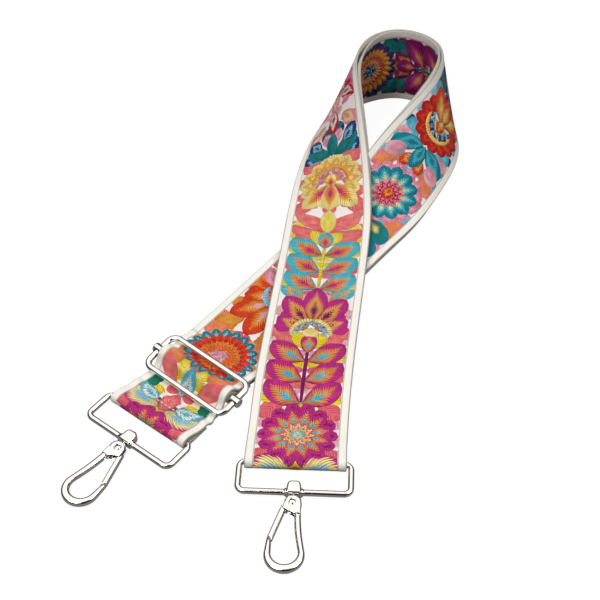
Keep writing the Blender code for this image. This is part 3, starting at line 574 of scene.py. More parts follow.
def long_rows(step):
    """From beside the slider along the outer layer, round the right ring's far bar, and back inside."""
    stations = front_stations(step) + loop_stations(step) + side_stations(step)
    middles = [s.edge + s.across * (BAND_WIDTH / 2) for s in stations]
    outer = []
    inner = []
    for i, station in enumerate(stations):
        ahead = middles[min(i + 1, len(middles) - 1)] - middles[max(i - 1, 0)]
        normal = station.across.cross(ahead).normalized()
        outer.append(layer_row(station, normal, LAYER / 2 + station.outer_rise))
        inner.append(layer_row(station, normal, station.inner_rise - LAYER / 2, station.slack))
    foot = stations[0].edge.copy()
    foot.z = 0
    out = direction(FRONT_RING_DEG) * -1
    fold = []
    for i in range(1, FOLD_STEPS):
        angle = math.pi * (1 / 2 - i / FOLD_STEPS)
        height = FAR_BAR_HEIGHT + WRAP_RADIUS * math.sin(angle)
        edge = foot + out * (WRAP_RADIUS * math.cos(angle)) + UP * height
        fold.append(layer_row(Station(edge, stations[0].across), UP, 0.0))
    return outer[::-1] + fold + inner


def slider_axes():
    along = direction(SIDE_END_DEG) * -1
    across = UP.cross(along)
    foot = side_run_end() - along * SLIDER_REACH + across * (BAND_WIDTH / 2)
    return foot, along, across


def profile_rows(path):
    """Rows across the band for a path of (distance from the slider's bar, height) at its middle."""
    foot, along, across = slider_axes()
    bars = SLIDER_SPACING / 2 + SLIDER_BAR_WIDTH / 2
    rows = []
    for distance, height in path:
        room = SKEW_LENGTH if distance < 0 else SLIDER_REACH - bars
        near = 1 - smooth_step((abs(distance) - bars) / room)
        half = BAND_WIDTH / 2 - BAND_DRAW * near
        lean = -math.tan(math.radians(SLIDER_SKEW_DEG)) * near
        row = []
        for share in column_shares():
            aside = half * (2 * share - 1)
            row.append(foot + along * (distance + aside * lean) + across * aside + UP * height)
        rows.append(row)
    return rows


def bight_path():
    """The path over the slider's bar from the crossing's side, its crest's place and its wrap's end."""
    flat_height = LAYER_MID + 2 * LAYER
    over = arc((0, CENTRE_BAR_HEIGHT), OUTER_WRAP, BIGHT_START_DEG, BIGHT_END_DEG, OVER_STEPS)
    rise = direction(BIGHT_START_DEG + 90) * BIGHT_HANDLE
    fall = direction(BIGHT_END_DEG + 90) * BIGHT_HANDLE
    start = over[0]
    end = over[-1]
    foot_in = (BIGHT_FOOT, flat_height)
    foot_out = (-BIGHT_FOOT, LAYER_MID)
    rise_handle = (start[0] - rise.x, start[1] - rise.y)
    up = bezier(foot_in, (BIGHT_FOOT - BIGHT_HANDLE, flat_height), rise_handle, start, RISE_STEPS)
    down_handle = (end[0] + fall.x, end[1] + fall.y)
    down = bezier(end, down_handle, (BIGHT_HANDLE / 2 - BIGHT_FOOT, LAYER_MID), foot_out, FALL_STEPS)
    flat_in = [(x, flat_height) for x in np.linspace(SLIDER_REACH - GAP, BIGHT_FOOT, FLAT_STEPS + 1)[:-1]]
    flat_out = [(x, LAYER_MID) for x in np.linspace(-BIGHT_FOOT, -SLIDER_TO_RING / 2, FLAT_STEPS + 1)[1:]]
    path = flat_in + up[:-1] + over + down[1:] + flat_out
    wrap_start = len(flat_in) + len(up) - 1
    crest = wrap_start + round((90 - BIGHT_START_DEG) / (BIGHT_END_DEG - BIGHT_START_DEG) * OVER_STEPS)
    return path, crest, wrap_start + len(over)


def sewn_end_path():
    """One layer inside the bight, on round the slider's centre bar, and flat to the sewn end."""
    bight, _, wrap_end = bight_path()
    path = []
    for i in range(wrap_end):
        before = Vector(bight[max(i - 1, 0)])
        after = Vector(bight[i + 1])
        ahead = (after - before).normalized()
        path.append((bight[i][0] - ahead.y * LAYER, bight[i][1] + ahead.x * LAYER))
    under = arc((0, CENTRE_BAR_HEIGHT), INNER_WRAP, BIGHT_END_DEG, 270, UNDER_STEPS)
    low = under[-1]
    handle = TAIL_FOOT / 2
    foot = (TAIL_FOOT, LAYER_MID)
    down = bezier(low, (low[0] + handle, low[1]), (TAIL_FOOT - handle, LAYER_MID), foot, SEWN_DROP_STEPS)
    tail = [(x, LAYER_MID) for x in np.linspace(TAIL_FOOT, SEWN_TAIL, SEWN_FLAT_STEPS + 1)[1:]]
    return path[:-1] + under + down[1:] + tail


def ring_end_path():
    """From the sewn-down tail, round the left ring's bar, to beside the slider."""
    bar = -SLIDER_TO_RING
    keys = (
        (0, FAR_BAR_HEIGHT + WRAP_RADIUS),
        (SEAM_FROM_FOLD, LAYER_MID + LAYER),
        (FOLD_TAIL, LAYER_MID + LAYER),
        (FOLD_TAIL + TAIL_STEP, LAYER_MID),
    )
    top = []
    for (near, high), (far, low) in zip(keys, keys[1:]):
        steps = STEP_DOWN_STEPS if abs(high - low) > GAP else LEVEL_STEPS
        for step in range(steps):
            share = step / steps
            top.append((bar + near + (far - near) * share, high + (low - high) * smooth_step(share)))
    fold = arc((bar, FAR_BAR_HEIGHT), WRAP_RADIUS, 90, 270, FOLD_STEPS)[1:-1]
    tail = [(bar + x, FAR_BAR_HEIGHT - WRAP_RADIUS) for x in np.linspace(0, FOLD_TAIL, FLAT_STEPS + 1)]
    return (top[::-1] + fold + tail)[::-1]


class Strip:
    """One stretch of the band: points in its middle, the way its front faces, and its places along it."""

    def __init__(self, rows, start):
        self.points = np.array([[tuple(p) for p in row] for row in rows])
        along = np.gradient(self.points, axis=0)
        across = np.gradient(self.points, axis=1)
        out = np.cross(along, across)
        self.out = out / np.linalg.norm(out, axis=2, keepdims=True)
        middle = self.points[:, self.points.shape[1] // 2]
        steps = np.linalg.norm(np.diff(middle, axis=0), axis=1)
        self.places = start + np.concatenate([[0], np.cumsum(steps)])

    def part(self, first, last, origin):
        """Its rows from first to last, with their places measured back from the origin."""
        strip = Strip.__new__(Strip)
        strip.points = self.points[first : last + 1]
        strip.out = self.out[first : last + 1]
        strip.places = origin - self.places[first : last + 1]
        return strip


def band_strips(step):
    """The whole band from its left tail to its sewn end, cut where the visible pieces part."""
    ring_end = profile_rows(ring_end_path())
    path, crest, _ = bight_path()
    bight = profile_rows(path[::-1])
    crest_row = len(path) - 1 - crest
    long = long_rows(step)
    sewn = profile_rows(sewn_end_path())
    rows = ring_end + bight + long + sewn
    whole = Strip(rows, 0.0)
    foot, along, _ = slider_axes()
    middle = whole.points[:, whole.points.shape[1] // 2]
    distance = (middle - np.array(foot)) @ np.array(along)
    first_long = len(ring_end) + len(bight)
    last_long = first_long + len(long) - 1
    outer_cut = next(i for i in range(first_long, last_long) if distance[i] > BLEND_FAR)
    inner_cut = next(i for i in range(last_long, first_long, -1) if distance[i] > BLEND_FAR)
    right_fold = first_long + int(np.argmin(middle[first_long:last_long, 1]))
    cuts = [0, len(ring_end) + crest_row, outer_cut, inner_cut, len(rows) - 1]
    origin = whole.places[right_fold]
    strips = {}
    for name, first, last in zip(SHEETS, cuts, cuts[1:]):
        strips[name] = whole.part(first, last, origin)
        nearest = np.clip(whole.places, whole.places[first], whole.places[last])
        near = np.flatnonzero(np.abs(whole.places - nearest) < OVERHANG)
        strips[name].beyond = whole.part(int(near[0]), int(near[-1]), origin)
    return strips


# Meshes


def add_object(name, data):
    obj = bpy.data.objects.new(name, data)
    bpy.context.scene.collection.objects.link(obj)
    return obj


def baked(obj):
    """The mesh of an object with its modifiers applied. The object itself is removed."""
    bpy.context.view_layer.update()
    graph = bpy.context.evaluated_depsgraph_get()
    data = bpy.data.meshes.new_from_object(obj.evaluated_get(graph))
    bpy.data.objects.remove(obj, do_unlink=True)
    return data


def reshaped(data, change):
    """The mesh after a change to its bmesh."""
    bm = bmesh.new()
    bm.from_mesh(data)
    change(bm)
    bm.to_mesh(data)
    bm.free()
    return data


def settle(obj, matrix=Matrix(), outward=True):
    """The object with its modifiers applied and a matrix moved into its mesh."""
    name = obj.name

    def place(bm):
        bmesh.ops.transform(bm, matrix=matrix, verts=bm.verts)
        if outward:
            bmesh.ops.recalc_face_normals(bm, faces=bm.faces)

    return add_object(name, reshaped(baked(obj), place))


def half_thickness(edge_distance, settings, front):
    """Half the band's thickness at a distance from its edge: rounded rim, thicker selvedge, groove."""
    radius = settings.selvedge_half
    if edge_distance < radius:
        return radius * math.sqrt(max(1 - (1 - edge_distance / radius) ** 2, 0))
    ground = settings.ground_half
    from_groove = edge_distance - SELVEDGE_GROOVE
    depth = smooth_step(from_groove / SELVEDGE_SLOPE + 0.5)
    half = radius + (ground - radius) * depth
    if front:
        half -= settings.groove_depth * math.exp(-((from_groove / GROOVE_HALF) ** 2))
    return half


def band_mesh(name, strip, settings):
    """Closed cloth of the strip: front grid, back grid, shared edges, and end faces."""
    shares = column_shares()
    rows, columns = strip.points.shape[:2]
    bm = bmesh.new()
    uv = bm.loops.layers.uv.new("web")
    front = []
    back = []
    for r in range(rows):
        front_row = []
        back_row = []
        for c in range(columns):
            edge = min(shares[c], 1 - shares[c]) * BAND_WIDTH
            point = Vector(strip.points[r, c])
            out = Vector(strip.out[r, c])
            front_row.append(bm.verts.new(point + out * half_thickness(edge, settings, True)))
            if c in (0, columns - 1):
                back_row.append(front_row[-1])
            else:
                back_row.append(bm.verts.new(point - out * half_thickness(edge, settings, False)))
        front.append(front_row)
        back.append(back_row)

    def add_face(corners, keys, material):
        face = bm.faces.new(corners)
        face.material_index = material
        face.smooth = True
        for loop, (r, c) in zip(face.loops, keys):
            loop[uv].uv = (strip.places[r], shares[c] * BAND_WIDTH)

    for r in range(rows - 1):
        for c in range(columns - 1):
            keys = ((r, c), (r, c + 1), (r + 1, c + 1), (r + 1, c))
            add_face([front[a][b] for a, b in keys], keys, 0)
            add_face([back[a][b] for a, b in reversed(keys)], keys[::-1], 1)
    for r in (0, rows - 1):
        for c in range(columns - 1):
            keys = [(r, c), (r, c + 1)]
            loop = [front[r][c], front[r][c + 1], back[r][c + 1], back[r][c]]
            corners = list(dict.fromkeys(loop))
            if len(corners) > 2:
                flat = [keys[0], keys[1], keys[1], keys[0]]
                add_face(corners, [flat[loop.index(v)] for v in corners], 1)
    bmesh.ops.recalc_face_normals(bm, faces=bm.faces)
    data = bpy.data.meshes.new(name)
    bm.to_mesh(data)
    bm.free()
    return add_object(name, data)


def guide_mesh(name, strip, settings):
    """The strip's front surface alone, with its places as a UV map and its outward way as an attribute."""
    shares = column_shares()
    rows, columns = strip.points.shape[:2]
    points = strip.points + strip.out * settings.ground_half
    index = np.arange(rows * columns).reshape(rows, columns)
    corners = [index[:-1, :-1], index[:-1, 1:], index[1:, 1:], index[1:, :-1]]
    faces = np.stack(corners, axis=-1).reshape(-1, 4)
    data = bpy.data.meshes.new(name)
    data.from_pydata(points.reshape(-1, 3).tolist(), [], faces.tolist())
    places = np.repeat(strip.places[:, None], columns, axis=1).reshape(-1)
    across = np.tile(np.array(shares) * BAND_WIDTH, rows)
    layer = data.uv_layers.new(name="web")
    loops = faces.reshape(-1)
    layer.data.foreach_set("uv", np.column_stack([places[loops], across[loops]]).reshape(-1))
    out = data.attributes.new("out", "FLOAT_VECTOR", "POINT")
    out.data.foreach_set("vector", strip.out.reshape(-1))
    guide = add_object(name, data)
    guide.hide_render = True
    return guide


# Nodes


class Nodes:
    """Short calls for building a node tree."""

    def __init__(self, tree):
        self.tree = tree

    def add(self, kind, inputs=(), **settings):
        node = self.tree.nodes.new(kind)
        for key, value in settings.items():
            setattr(node, key, value)
        self.feed(node, inputs)
        return node

    def feed(self, node, inputs):
        """Gives each named or numbered input of a node its value, or a link from another node."""
        for key, value in dict(inputs).items():
            if isinstance(value, bpy.types.NodeSocket):
                self.tree.links.new(value, node.inputs[key])
            else:
                node.inputs[key].default_value = value

    def math(self, operation, *values, clamp=False):
        node = self.add("ShaderNodeMath", enumerate(values), operation=operation, use_clamp=clamp)
        return node.outputs[0]

    def mix(self, factor, a, b):
        """A mix of two colours. Sockets 6 and 7 of this node take colours, and its output 2 gives one."""
        return self.add("ShaderNodeMix", {0: factor, 6: a, 7: b}, data_type="RGBA").outputs[2]

    def scale(self, vector, factor):
        return self.add("ShaderNodeVectorMath", {0: vector, "Scale": factor}, operation="SCALE").outputs[0]

    def split(self, vector):
        return self.add("ShaderNodeSeparateXYZ", {0: vector}).outputs

    def attribute(self, name):
        return self.add("ShaderNodeAttribute", attribute_name=name).outputs

    def ramp(self, value, edge, sharpness):
        """0 below the edge and 1 above it."""
        off = self.math("SUBTRACT", value, edge)
        scaled = self.math("MULTIPLY", off, sharpness)
        return self.math("ADD", scaled, 0.5, clamp=True)

    def below(self, value, edge, sharpness):
        """1 below the edge and 0 above it."""
        return self.math("SUBTRACT", 1.0, self.ramp(value, edge, sharpness))

    def from_half(self, value):
        """0 where the value is a half, and 1 where it is 0 or 1."""
        return self.math("ABSOLUTE", self.math("SUBTRACT", self.math("MULTIPLY", value, 2.0), 1.0))

    def noise(self, vector, scale, detail=2.0):
        inputs = {"Vector": vector, "Scale": scale, "Detail": detail}
        return self.add("ShaderNodeTexNoise", inputs).outputs[0]

    def noise_along(self, value):
        inputs = {"W": value, "Scale": 1.0, "Detail": 1.0}
        return self.add("ShaderNodeTexNoise", inputs, noise_dimensions="1D").outputs[0]

    def bump(self, shader, height, strength, distance):
        inputs = {"Strength": strength, "Distance": distance, "Height": height}
        self.feed(shader, {"Normal": self.add("ShaderNodeBump", inputs).outputs[0]})


def new_material(name):
    """A new material, the short calls for its nodes, and its shader."""
    material = bpy.data.materials.new(name)
    material.use_nodes = True
    return material, Nodes(material.node_tree), material.node_tree.nodes["Principled BSDF"]


def rgba(colour, share=1.0):
    return (*(channel * share for channel in colour), 1)


# Materials


def woven_ground(name, settings, reverse):
    """Cream woven ground with a selvedge of its own colour, and painted shade at the groove and along the
    rim.
    """
    material, n, shader = new_material(name)
    uv = n.add("ShaderNodeUVMap", uv_map="web").outputs[0]
    along, across, _ = n.split(uv)
    from_middle = n.math("ABSOLUTE", n.math("SUBTRACT", across, BAND_WIDTH / 2))
    edge = n.math("SUBTRACT", BAND_WIDTH / 2, from_middle)
    from_groove = n.math("ABSOLUTE", n.math("SUBTRACT", edge, SELVEDGE_GROOVE))
    in_selvedge = n.below(edge, SELVEDGE_GROOVE, sharpness=4000.0)
    in_groove_shade = n.below(from_groove, GROOVE_SHADE_HALF, sharpness=5000.0)
    in_rim_shade = n.below(edge, RIM_SHADE_WIDTH, sharpness=3000.0)

    turns = 2 * math.pi / settings.weave_pitch
    picks = n.math("SINE", n.math("MULTIPLY", along, turns))
    ends = n.math("SINE", n.math("MULTIPLY", across, turns))
    weave = n.math("MULTIPLY", picks, ends)
    fine = n.noise(uv, scale=900.0, detail=3.0)
    broad = n.noise(uv, scale=60.0)

    ground = settings.reverse_colour if reverse else settings.ground_colour
    edge_shade_colour = rgba(settings.edge_shade_colour)
    shade = n.mix(broad, rgba(ground), rgba(ground, BLOTCH_SHADE))
    shade = n.mix(in_selvedge, shade, rgba(settings.selvedge_colour))
    threads = n.math("MULTIPLY_ADD", weave, WEAVE_SHADE, 1 - WEAVE_SHADE)
    speckle = n.math("MULTIPLY_ADD", fine, SPECKLE_SHADE, 1 - SPECKLE_SHADE / 2)
    colour = n.scale(shade, n.math("MULTIPLY", threads, speckle))
    # Painted shade in the selvedge's groove, then a painted shadow along the band's rim
    colour = n.mix(n.math("MULTIPLY", in_groove_shade, GROOVE_SHADE_STRENGTH), colour, edge_shade_colour)
    colour = n.mix(n.math("MULTIPLY", in_rim_shade, RIM_SHADE_STRENGTH), colour, edge_shade_colour)
    n.feed(shader, {"Base Color": colour, "Roughness": 0.85})
    n.feed(shader, {"Sheen Weight": 0.15, "Specular IOR Level": 0.25})
    height = n.math("ADD", n.math("MULTIPLY", weave, 0.6), fine)
    n.bump(shader, height, strength=0.35, distance=0.0002)
    return material


def satin_thread(name, settings):
    """Long and short satin stitches: three thread colours that feather into each other along each petal."""
    material, n, shader = new_material(name)
    uv = n.add("ShaderNodeUVMap", uv_map="petal").outputs[0]
    length, place, _ = n.split(uv)
    side = n.from_half(place)
    colour_of = {part: n.attribute(part)["Color"] for part in PETAL_PARTS}
    along_count, across_count, seed = n.split(n.attribute("stitch")["Vector"])

    # Stitches run from the midrib outwards and towards the tip
    along_phase = n.math("MULTIPLY", length, along_count)
    phase = n.math("ADD", n.math("SUBTRACT", along_phase, n.math("MULTIPLY", side, across_count)), seed)
    spike = n.from_half(n.math("FRACT", n.math("MULTIPLY", phase, 1 / settings.flame_threads)))
    fine = n.noise_along(phase)
    broad = n.noise_along(n.math("MULTIPLY", phase, BUNDLE_RATE))

    # The inner colours are centred part of the way along the petal, and end unevenly
    tip = n.math("MAXIMUM", n.math("SUBTRACT", length, CENTRE_PLACE), 0.0)
    root = n.math("MAXIMUM", n.math("SUBTRACT", CENTRE_PLACE, length), 0.0)
    reach = n.math("ADD", n.math("MULTIPLY", tip, TIP_RATE), n.math("MULTIPLY", root, ROOT_RATE))
    spread = n.math("ADD", n.math("MULTIPLY", side, SIDE_RATE), reach)
    uneven = n.math("ADD", n.math("MULTIPLY", spike, UNEVENNESS), n.math("MULTIPLY", fine, UNEVENNESS))
    feather = n.math("MULTIPLY", n.math("SUBTRACT", uneven, UNEVENNESS), settings.feather)
    ragged = n.math("ADD", spread, feather)
    in_middle = n.below(ragged, MIDDLE_REACH, COLOUR_SHARPNESS)
    in_inner = n.below(ragged, INNER_REACH, COLOUR_SHARPNESS)
    colour = n.mix(in_middle, colour_of["outer"], colour_of["middle"])
    colour = n.mix(in_inner, colour, colour_of["inner"])

    # Painted light and shade over each thread with a fine dark line between threads, and deeper painted
    # shade here and there between bundles of them
    turns = n.math("ADD", phase, n.math("MULTIPLY", n.noise(uv, scale=5.0), WANDER))
    waves = n.math("SINE", n.math("MULTIPLY", turns, 2 * math.pi))
    bundles = n.math("SINE", n.math("MULTIPLY", turns, math.pi))
    deep = n.ramp(broad, DEEP_EDGE, sharpness=7.0)
    groove = n.math("MULTIPLY", n.ramp(bundles, GROOVE_EDGE, sharpness=5.0), deep)
    lit = n.math("ADD", n.math("MULTIPLY", waves, THREAD_CONTRAST), THREAD_LEVEL)
    lit = n.math("ADD", lit, n.math("MULTIPLY", broad, BUNDLE_CONTRAST))
    lit = n.math("MULTIPLY", lit, n.math("SUBTRACT", 1.0, n.math("MULTIPLY", groove, settings.groove_shade)))
    # Painted shade along each petal's rim
    outline = n.math("MULTIPLY", n.ramp(side, RIM_SHADE_EDGE, sharpness=20.0), settings.outline)
    lit = n.math("MULTIPLY", lit, n.math("SUBTRACT", 1.0, outline))
    n.feed(shader, {"Base Color": n.scale(colour, lit), "Roughness": 0.48, "Specular IOR Level": 0.22})
    puff = n.math("MULTIPLY", n.math("MULTIPLY", side, side), -settings.puff)
    height = n.math("ADD", puff, n.math("ADD", waves, n.math("MULTIPLY", fine, FINE_HEIGHT)))
    height = n.math("SUBTRACT", height, n.math("MULTIPLY", groove, GROOVE_HEIGHT))
    n.bump(shader, height, strength=0.85, distance=0.00022)
    return material


def sewing_thread(name):
    material, n, shader = new_material(name)
    noise = n.noise(n.add("ShaderNodeTexCoord").outputs["Object"], scale=4000.0)
    colour = n.mix(noise, (0.80, 0.76, 0.68, 1), (0.90, 0.88, 0.82, 1))
    n.feed(shader, {"Base Color": colour, "Roughness": 0.6})
    n.bump(shader, noise, strength=0.4, distance=0.0001)
    return material


def plated_metal(name, settings, roughness):
    """Bright nickel plate with the faint ripple and haze of a polished casting."""
    material, n, shader = new_material(name)
    coordinates = n.add("ShaderNodeTexCoord").outputs["Object"]
    ripple = n.noise(coordinates, scale=260.0, detail=1.0)
    haze = n.noise(coordinates, scale=1200.0, detail=3.0)
    tone = n.mix(haze, rgba(settings.metal_colour), rgba(settings.metal_colour, HAZE_SHADE))
    rough = n.math("MULTIPLY_ADD", haze, HAZE_ROUGHNESS, roughness - HAZE_ROUGHNESS / 2)
    n.feed(shader, {"Base Color": tone, "Metallic": 1.0, "Roughness": rough})
    n.bump(shader, ripple, strength=0.10, distance=0.0002)
    return material


# Embroidery


class Motifs:
    """Petals laid out flat: x along the band from the right ring's fold, y across it from its middle."""

    def __init__(self, settings):
        self.settings = settings
        self.points = []
        self.faces = []
        self.petal_uv = []
        self.colours = {part: [] for part in PETAL_PARTS}
        self.stitch = []
        self.count = 0
        self.at = 0.0
        self.turned_in = None

    def petal(self, x, y, angle, length, width, colours, **shape):
        """One satin petal from its root. All lengths are in millimetres and angles in degrees."""
        shape = PETAL_SHAPE | shape
        bend = math.radians(shape["bend"])
        if self.turned_in:
            x, angle, bend = self.turned_in - x, 180 - angle, -bend
        middle = self.at + x
        sharp = any(start - length < middle < end + length for start, end in SHARP_BENDS)
        grain = FINE_GRAIN if sharp else GRAIN
        steps = min(max(round(length / grain), shape["steps"]), MOST_STEPS)
        inside = max(round(width * RIM_SHARE / grain) // 2 * 2, 2) + 1
        places = [-1.0, *np.linspace(-RIM_SHARE, RIM_SHARE, inside), 1.0]
        columns = len(places)
        names = colours.split()
        names += names[-1:] * 2 if len(names) == 1 else names[:1] * (3 - len(names))
        power = math.log(0.5) / math.log(shape["belly"])
        first = len(self.points)
        heading = math.radians(angle) - bend / 2 + bend / steps / 2
        place = np.array([x, y], float)
        dome = self.settings.thread_height / MM
        in_turn = self.count % PETAL_TURNS * dome / PETAL_TURNS**2
        rest = shape["layer"] * self.settings.layer_step / MM + in_turn
        pitch = self.settings.thread_pitch / MM
        pattern_start = self.count * PATTERN_STEP % PATTERN_LENGTH
        stitch = (length / pitch, width / 2 / pitch * shape["slant"], pattern_start)
        self.count += 1
        for i in range(steps + 1):
            t = i / steps
            ahead = np.array([math.cos(heading), math.sin(heading)])
            aside = np.array([-ahead[1], ahead[0]])
            swell = t**power
            half = width / 2 * max((4 * swell * (1 - swell)) ** shape["blunt"], LEAST_WIDTH)
            end = min(1.0, END_RISE * min(t, 1 - t) + END_HEIGHT)
            for c, across in enumerate(places):
                height = -SUNK if c in (0, columns - 1) else rest + dome * (1 - across**2) ** 0.5 * end
                spot = place + aside * half * across
                held = min(max(spot[1], -FIELD_HALF), FIELD_HALF)
                self.points.append((self.at + spot[0], held, height))
                self.petal_uv.append((t, (across + 1) / 2))
                for part, colour in zip(PETAL_PARTS, names):
                    self.colours[part].append(THREADS[colour])
                self.stitch.append(stitch)
            place = place + ahead * length / steps
            heading += bend / steps
        for i in range(steps):
            for c in range(columns - 1):
                a = first + i * columns + c
                self.faces.append((a, a + 1, a + columns + 1, a + columns))

    def pair(self, x, y, angle, length, width, colours, **shape):
        """A petal and its mirror image across the band's middle."""
        self.petal(x, y, angle, length, width, colours, **shape)
        mirrored = dict(shape, bend=-shape.get("bend", 0.0))
        self.petal(x, -y, -angle, length, width, colours, **mirrored)

    def disc(self, x, y, diameter, colours, **shape):
        self.petal(x - diameter / 2, y, 0, diameter, diameter, colours, blunt=0.5, **shape)

    def ring_of(self, x, y, radius, count, length, width, colours, turn=0.0, sweep=360.0, **shape):
        """Petals round a centre: all the way, or over a sweep whose middle is the turn."""
        for i in range(count):
            angle = turn + sweep * ((i + 0.5) / count - 0.5)
            root = (x + radius * math.cos(math.radians(angle)), y + radius * math.sin(math.radians(angle)))
            self.petal(*root, angle, length, width, colours, **shape)

    def arch(self, x, radius, width, colours, facing=0, sweep=190, **shape):
        """A band of thread round a centre on the middle line, its crown towards the way it faces."""
        start = math.radians(facing - sweep / 2)
        root = (x + radius * math.cos(start), radius * math.sin(start))
        length = math.radians(sweep) * radius
        drawn = {"bend": sweep, "blunt": ARCH_BLUNT, "steps": ARCH_STEPS, "slant": 0.0}
        self.petal(*root, facing + 90, length, width, colours, **drawn, **shape)

    def chain(self, x, radius, rows, colours, facing=0, sweep=190, layer=1):
        """Rows of short slanting stitches round a centre, in turn of each colour."""
        threads = colours.split()
        for row in range(rows):
            ring = radius + row * CHAIN_PITCH
            count = round(math.radians(sweep) * ring / CHAIN_STITCH)
            for i in range(count):
                angle = facing + sweep * ((i + 0.5 * (row % 2)) / count - 0.5)
                root = (x + ring * math.cos(math.radians(angle)), ring * math.sin(math.radians(angle)))
                slant = CHAIN_SLANT_DEG if (i + row) % 2 else -CHAIN_SLANT_DEG
                thread = threads[(i + row) % len(threads)]
                length = CHAIN_STITCH * CHAIN_OVERLAP
                self.petal(*root, angle + 90 + slant, length, CHAIN_PITCH, thread, layer=layer)

    def mesh(self, name):
        data = bpy.data.meshes.new(name)
        data.from_pydata(self.points, [], self.faces)
        points = np.array(self.points) * MM
        points[:, 1] += BAND_WIDTH / 2
        data.vertices.foreach_set("co", points.reshape(-1))
        loops = np.empty(len(data.loops), np.int32)
        data.loops.foreach_get("vertex_index", loops)
        layer = data.uv_layers.new(name="petal")
        layer.data.foreach_set("uv", np.array(self.petal_uv)[loops].reshape(-1))
        for key, values in self.colours.items():
            attribute = data.color_attributes.new(key, "FLOAT_COLOR", "POINT")
            rgba = np.column_stack([np.array(values), np.ones(len(values))])
            attribute.data.foreach_set("color", rgba.reshape(-1))
        attribute = data.attributes.new("stitch", "FLOAT_VECTOR", "POINT")
        attribute.data.foreach_set("vector", np.array(self.stitch, float).reshape(-1))
        data.shade_smooth()
        return data


# In the motifs below, a petal or a pair of them has its root's x and y, its angle, length, width and
# threads. A ring has its centre's x and y, the roots' distance, a count, and then a petal's length, width
# and threads


def corner_leaves(m, corner, accent):
    """Two pairs of leaves at each end of a round flower."""
    for x, lean in ((-1.0, 1), (43.0, -1)):
        m.pair(x, 9.5, 90 - 45 * lean, 15.5, 10.5, corner)
        m.pair(x, 1.5, 90 - 72 * lean, 11.0, 8.0, accent)


def rosette(m, wreath, outer, inner, eye, corner, accent):
    """A round flower in a wreath of short petals, with leaves in the corners."""
    corner_leaves(m, corner, accent)
    m.ring_of(21, 0, 11.5, 14, 9.2, 8.4, wreath, belly=0.5, blunt=0.45, layer=1)
    m.ring_of(21, 0, 4.4, 12, 13.6, 8.6, outer, belly=0.6, blunt=0.5, layer=2)
    m.ring_of(21, 0, 2.4, 12, 7.2, 4.2, inner, layer=3, turn=15)
    m.disc(21, 0, 7.4, eye, layer=4)


def aster(m, wreath, outer, inner, eye, corner, accent):
    """A round flower of many narrow petals with a dotted eye, and leaves in the corners."""
    corner_leaves(m, corner, accent)
    m.ring_of(21, 0, 9.5, 20, 11.3, 6.0, wreath, belly=0.62, blunt=0.75, layer=1)
    m.ring_of(21, 0, 3.2, 24, 14.2, 4.6, outer, belly=0.62, blunt=0.75, layer=2)
    m.ring_of(21, 0, 2.6, 24, 9.6, 2.9, inner, blunt=0.9, layer=3, turn=7.5)
    m.disc(21, 0, 9.6, eye.split()[0], layer=4)
    m.chain(21, 0.7, 4, eye, sweep=360, layer=5)


def spray(m, leaf, second, berry, stem):
    """Three pairs of broad leaves on a stem."""
    for i, x in enumerate((-3.0, 11.0, 25.0)):
        m.pair(x + 4.0, 9.0, 76, 12.5, 10.5, second if i % 2 else berry)
        m.pair(x + 11.0, 0.5, 50, 9.0, 6.0, berry if i % 2 else second)
    for i, x in enumerate((-1.0, 12.5, 26.0)):
        m.pair(x, 0.2, 55, 23.5, 14.5, leaf, belly=0.58, blunt=0.75, bend=-30, layer=1 + i % 2)
    m.pair(35.0, 6.0, 52, 16.0, 10.0, second)
    m.pair(34.5, 0.4, 34, 14.5, 8.5, berry, layer=3)
    m.petal(32.0, 0, 0, 14.0, 9.6, leaf, layer=4)
    m.petal(-0.5, 0, 0, 34, 2.1, stem, blunt=0.15, slant=0.0, layer=3)


def palm(m, petals, arch, core, corner, accent):
    """Five broad petals that open from nested arches, in front of a fan of lobes."""
    m.pair(-1.0, 10.0, 70, 14.0, 11.0, corner)
    m.pair(27.0, 7.0, 52, 17.0, 11.0, accent)
    m.ring_of(6, 0, 8.5, 7, 11.5, 9.4, petals.split()[0], belly=0.6, blunt=0.42, sweep=215, layer=1)
    m.pair(4.0, 1.5, 66, 19.5, 13.0, petals, belly=0.62, layer=2)
    m.pair(6.5, 1.5, 35, 26.5, 13.5, petals, belly=0.62, blunt=0.75, layer=3)
    m.petal(7.0, 0, 0, 29.0, 14.0, petals, belly=0.6, blunt=0.75, layer=4)
    m.arch(0.5, 10.6, 3.0, arch, layer=4)
    m.chain(0.5, 6.7, 3, core, layer=4)
    m.disc(0.5, 0, 9.4, arch, layer=4)


def cup(m, lobes, band, line, heart, leaf):
    """A scalloped cup of nested arches with three petals standing in it."""
    m.pair(-1.0, 8.0, 50, 15.0, 10.0, leaf)
    m.pair(33.0, 9.5, 50, 15.0, 11.0, leaf)
    m.petal(36.0, 0, 0, 9.0, 9.0, leaf)
    m.ring_of(20, 0, 8.8, 14, 11.6, 8.8, lobes, belly=0.55, blunt=0.45, turn=180, layer=1)
    m.pair(21, 1.2, 40, 24.0, 13.0, heart, belly=0.58, blunt=0.75, bend=14, layer=2)
    m.petal(20, 0, 0, 22.0, 12.0, heart, belly=0.58, blunt=0.75, layer=3)
    m.arch(20, 11.2, 3.4, band, facing=180, layer=3)
    m.chain(20, 6.6, 3, line, facing=180, layer=3)
    m.arch(20, 4.8, 2.4, band, facing=180, layer=3)
    m.petal(24.5, 0, 180, 10.5, 7.6, heart, layer=4)


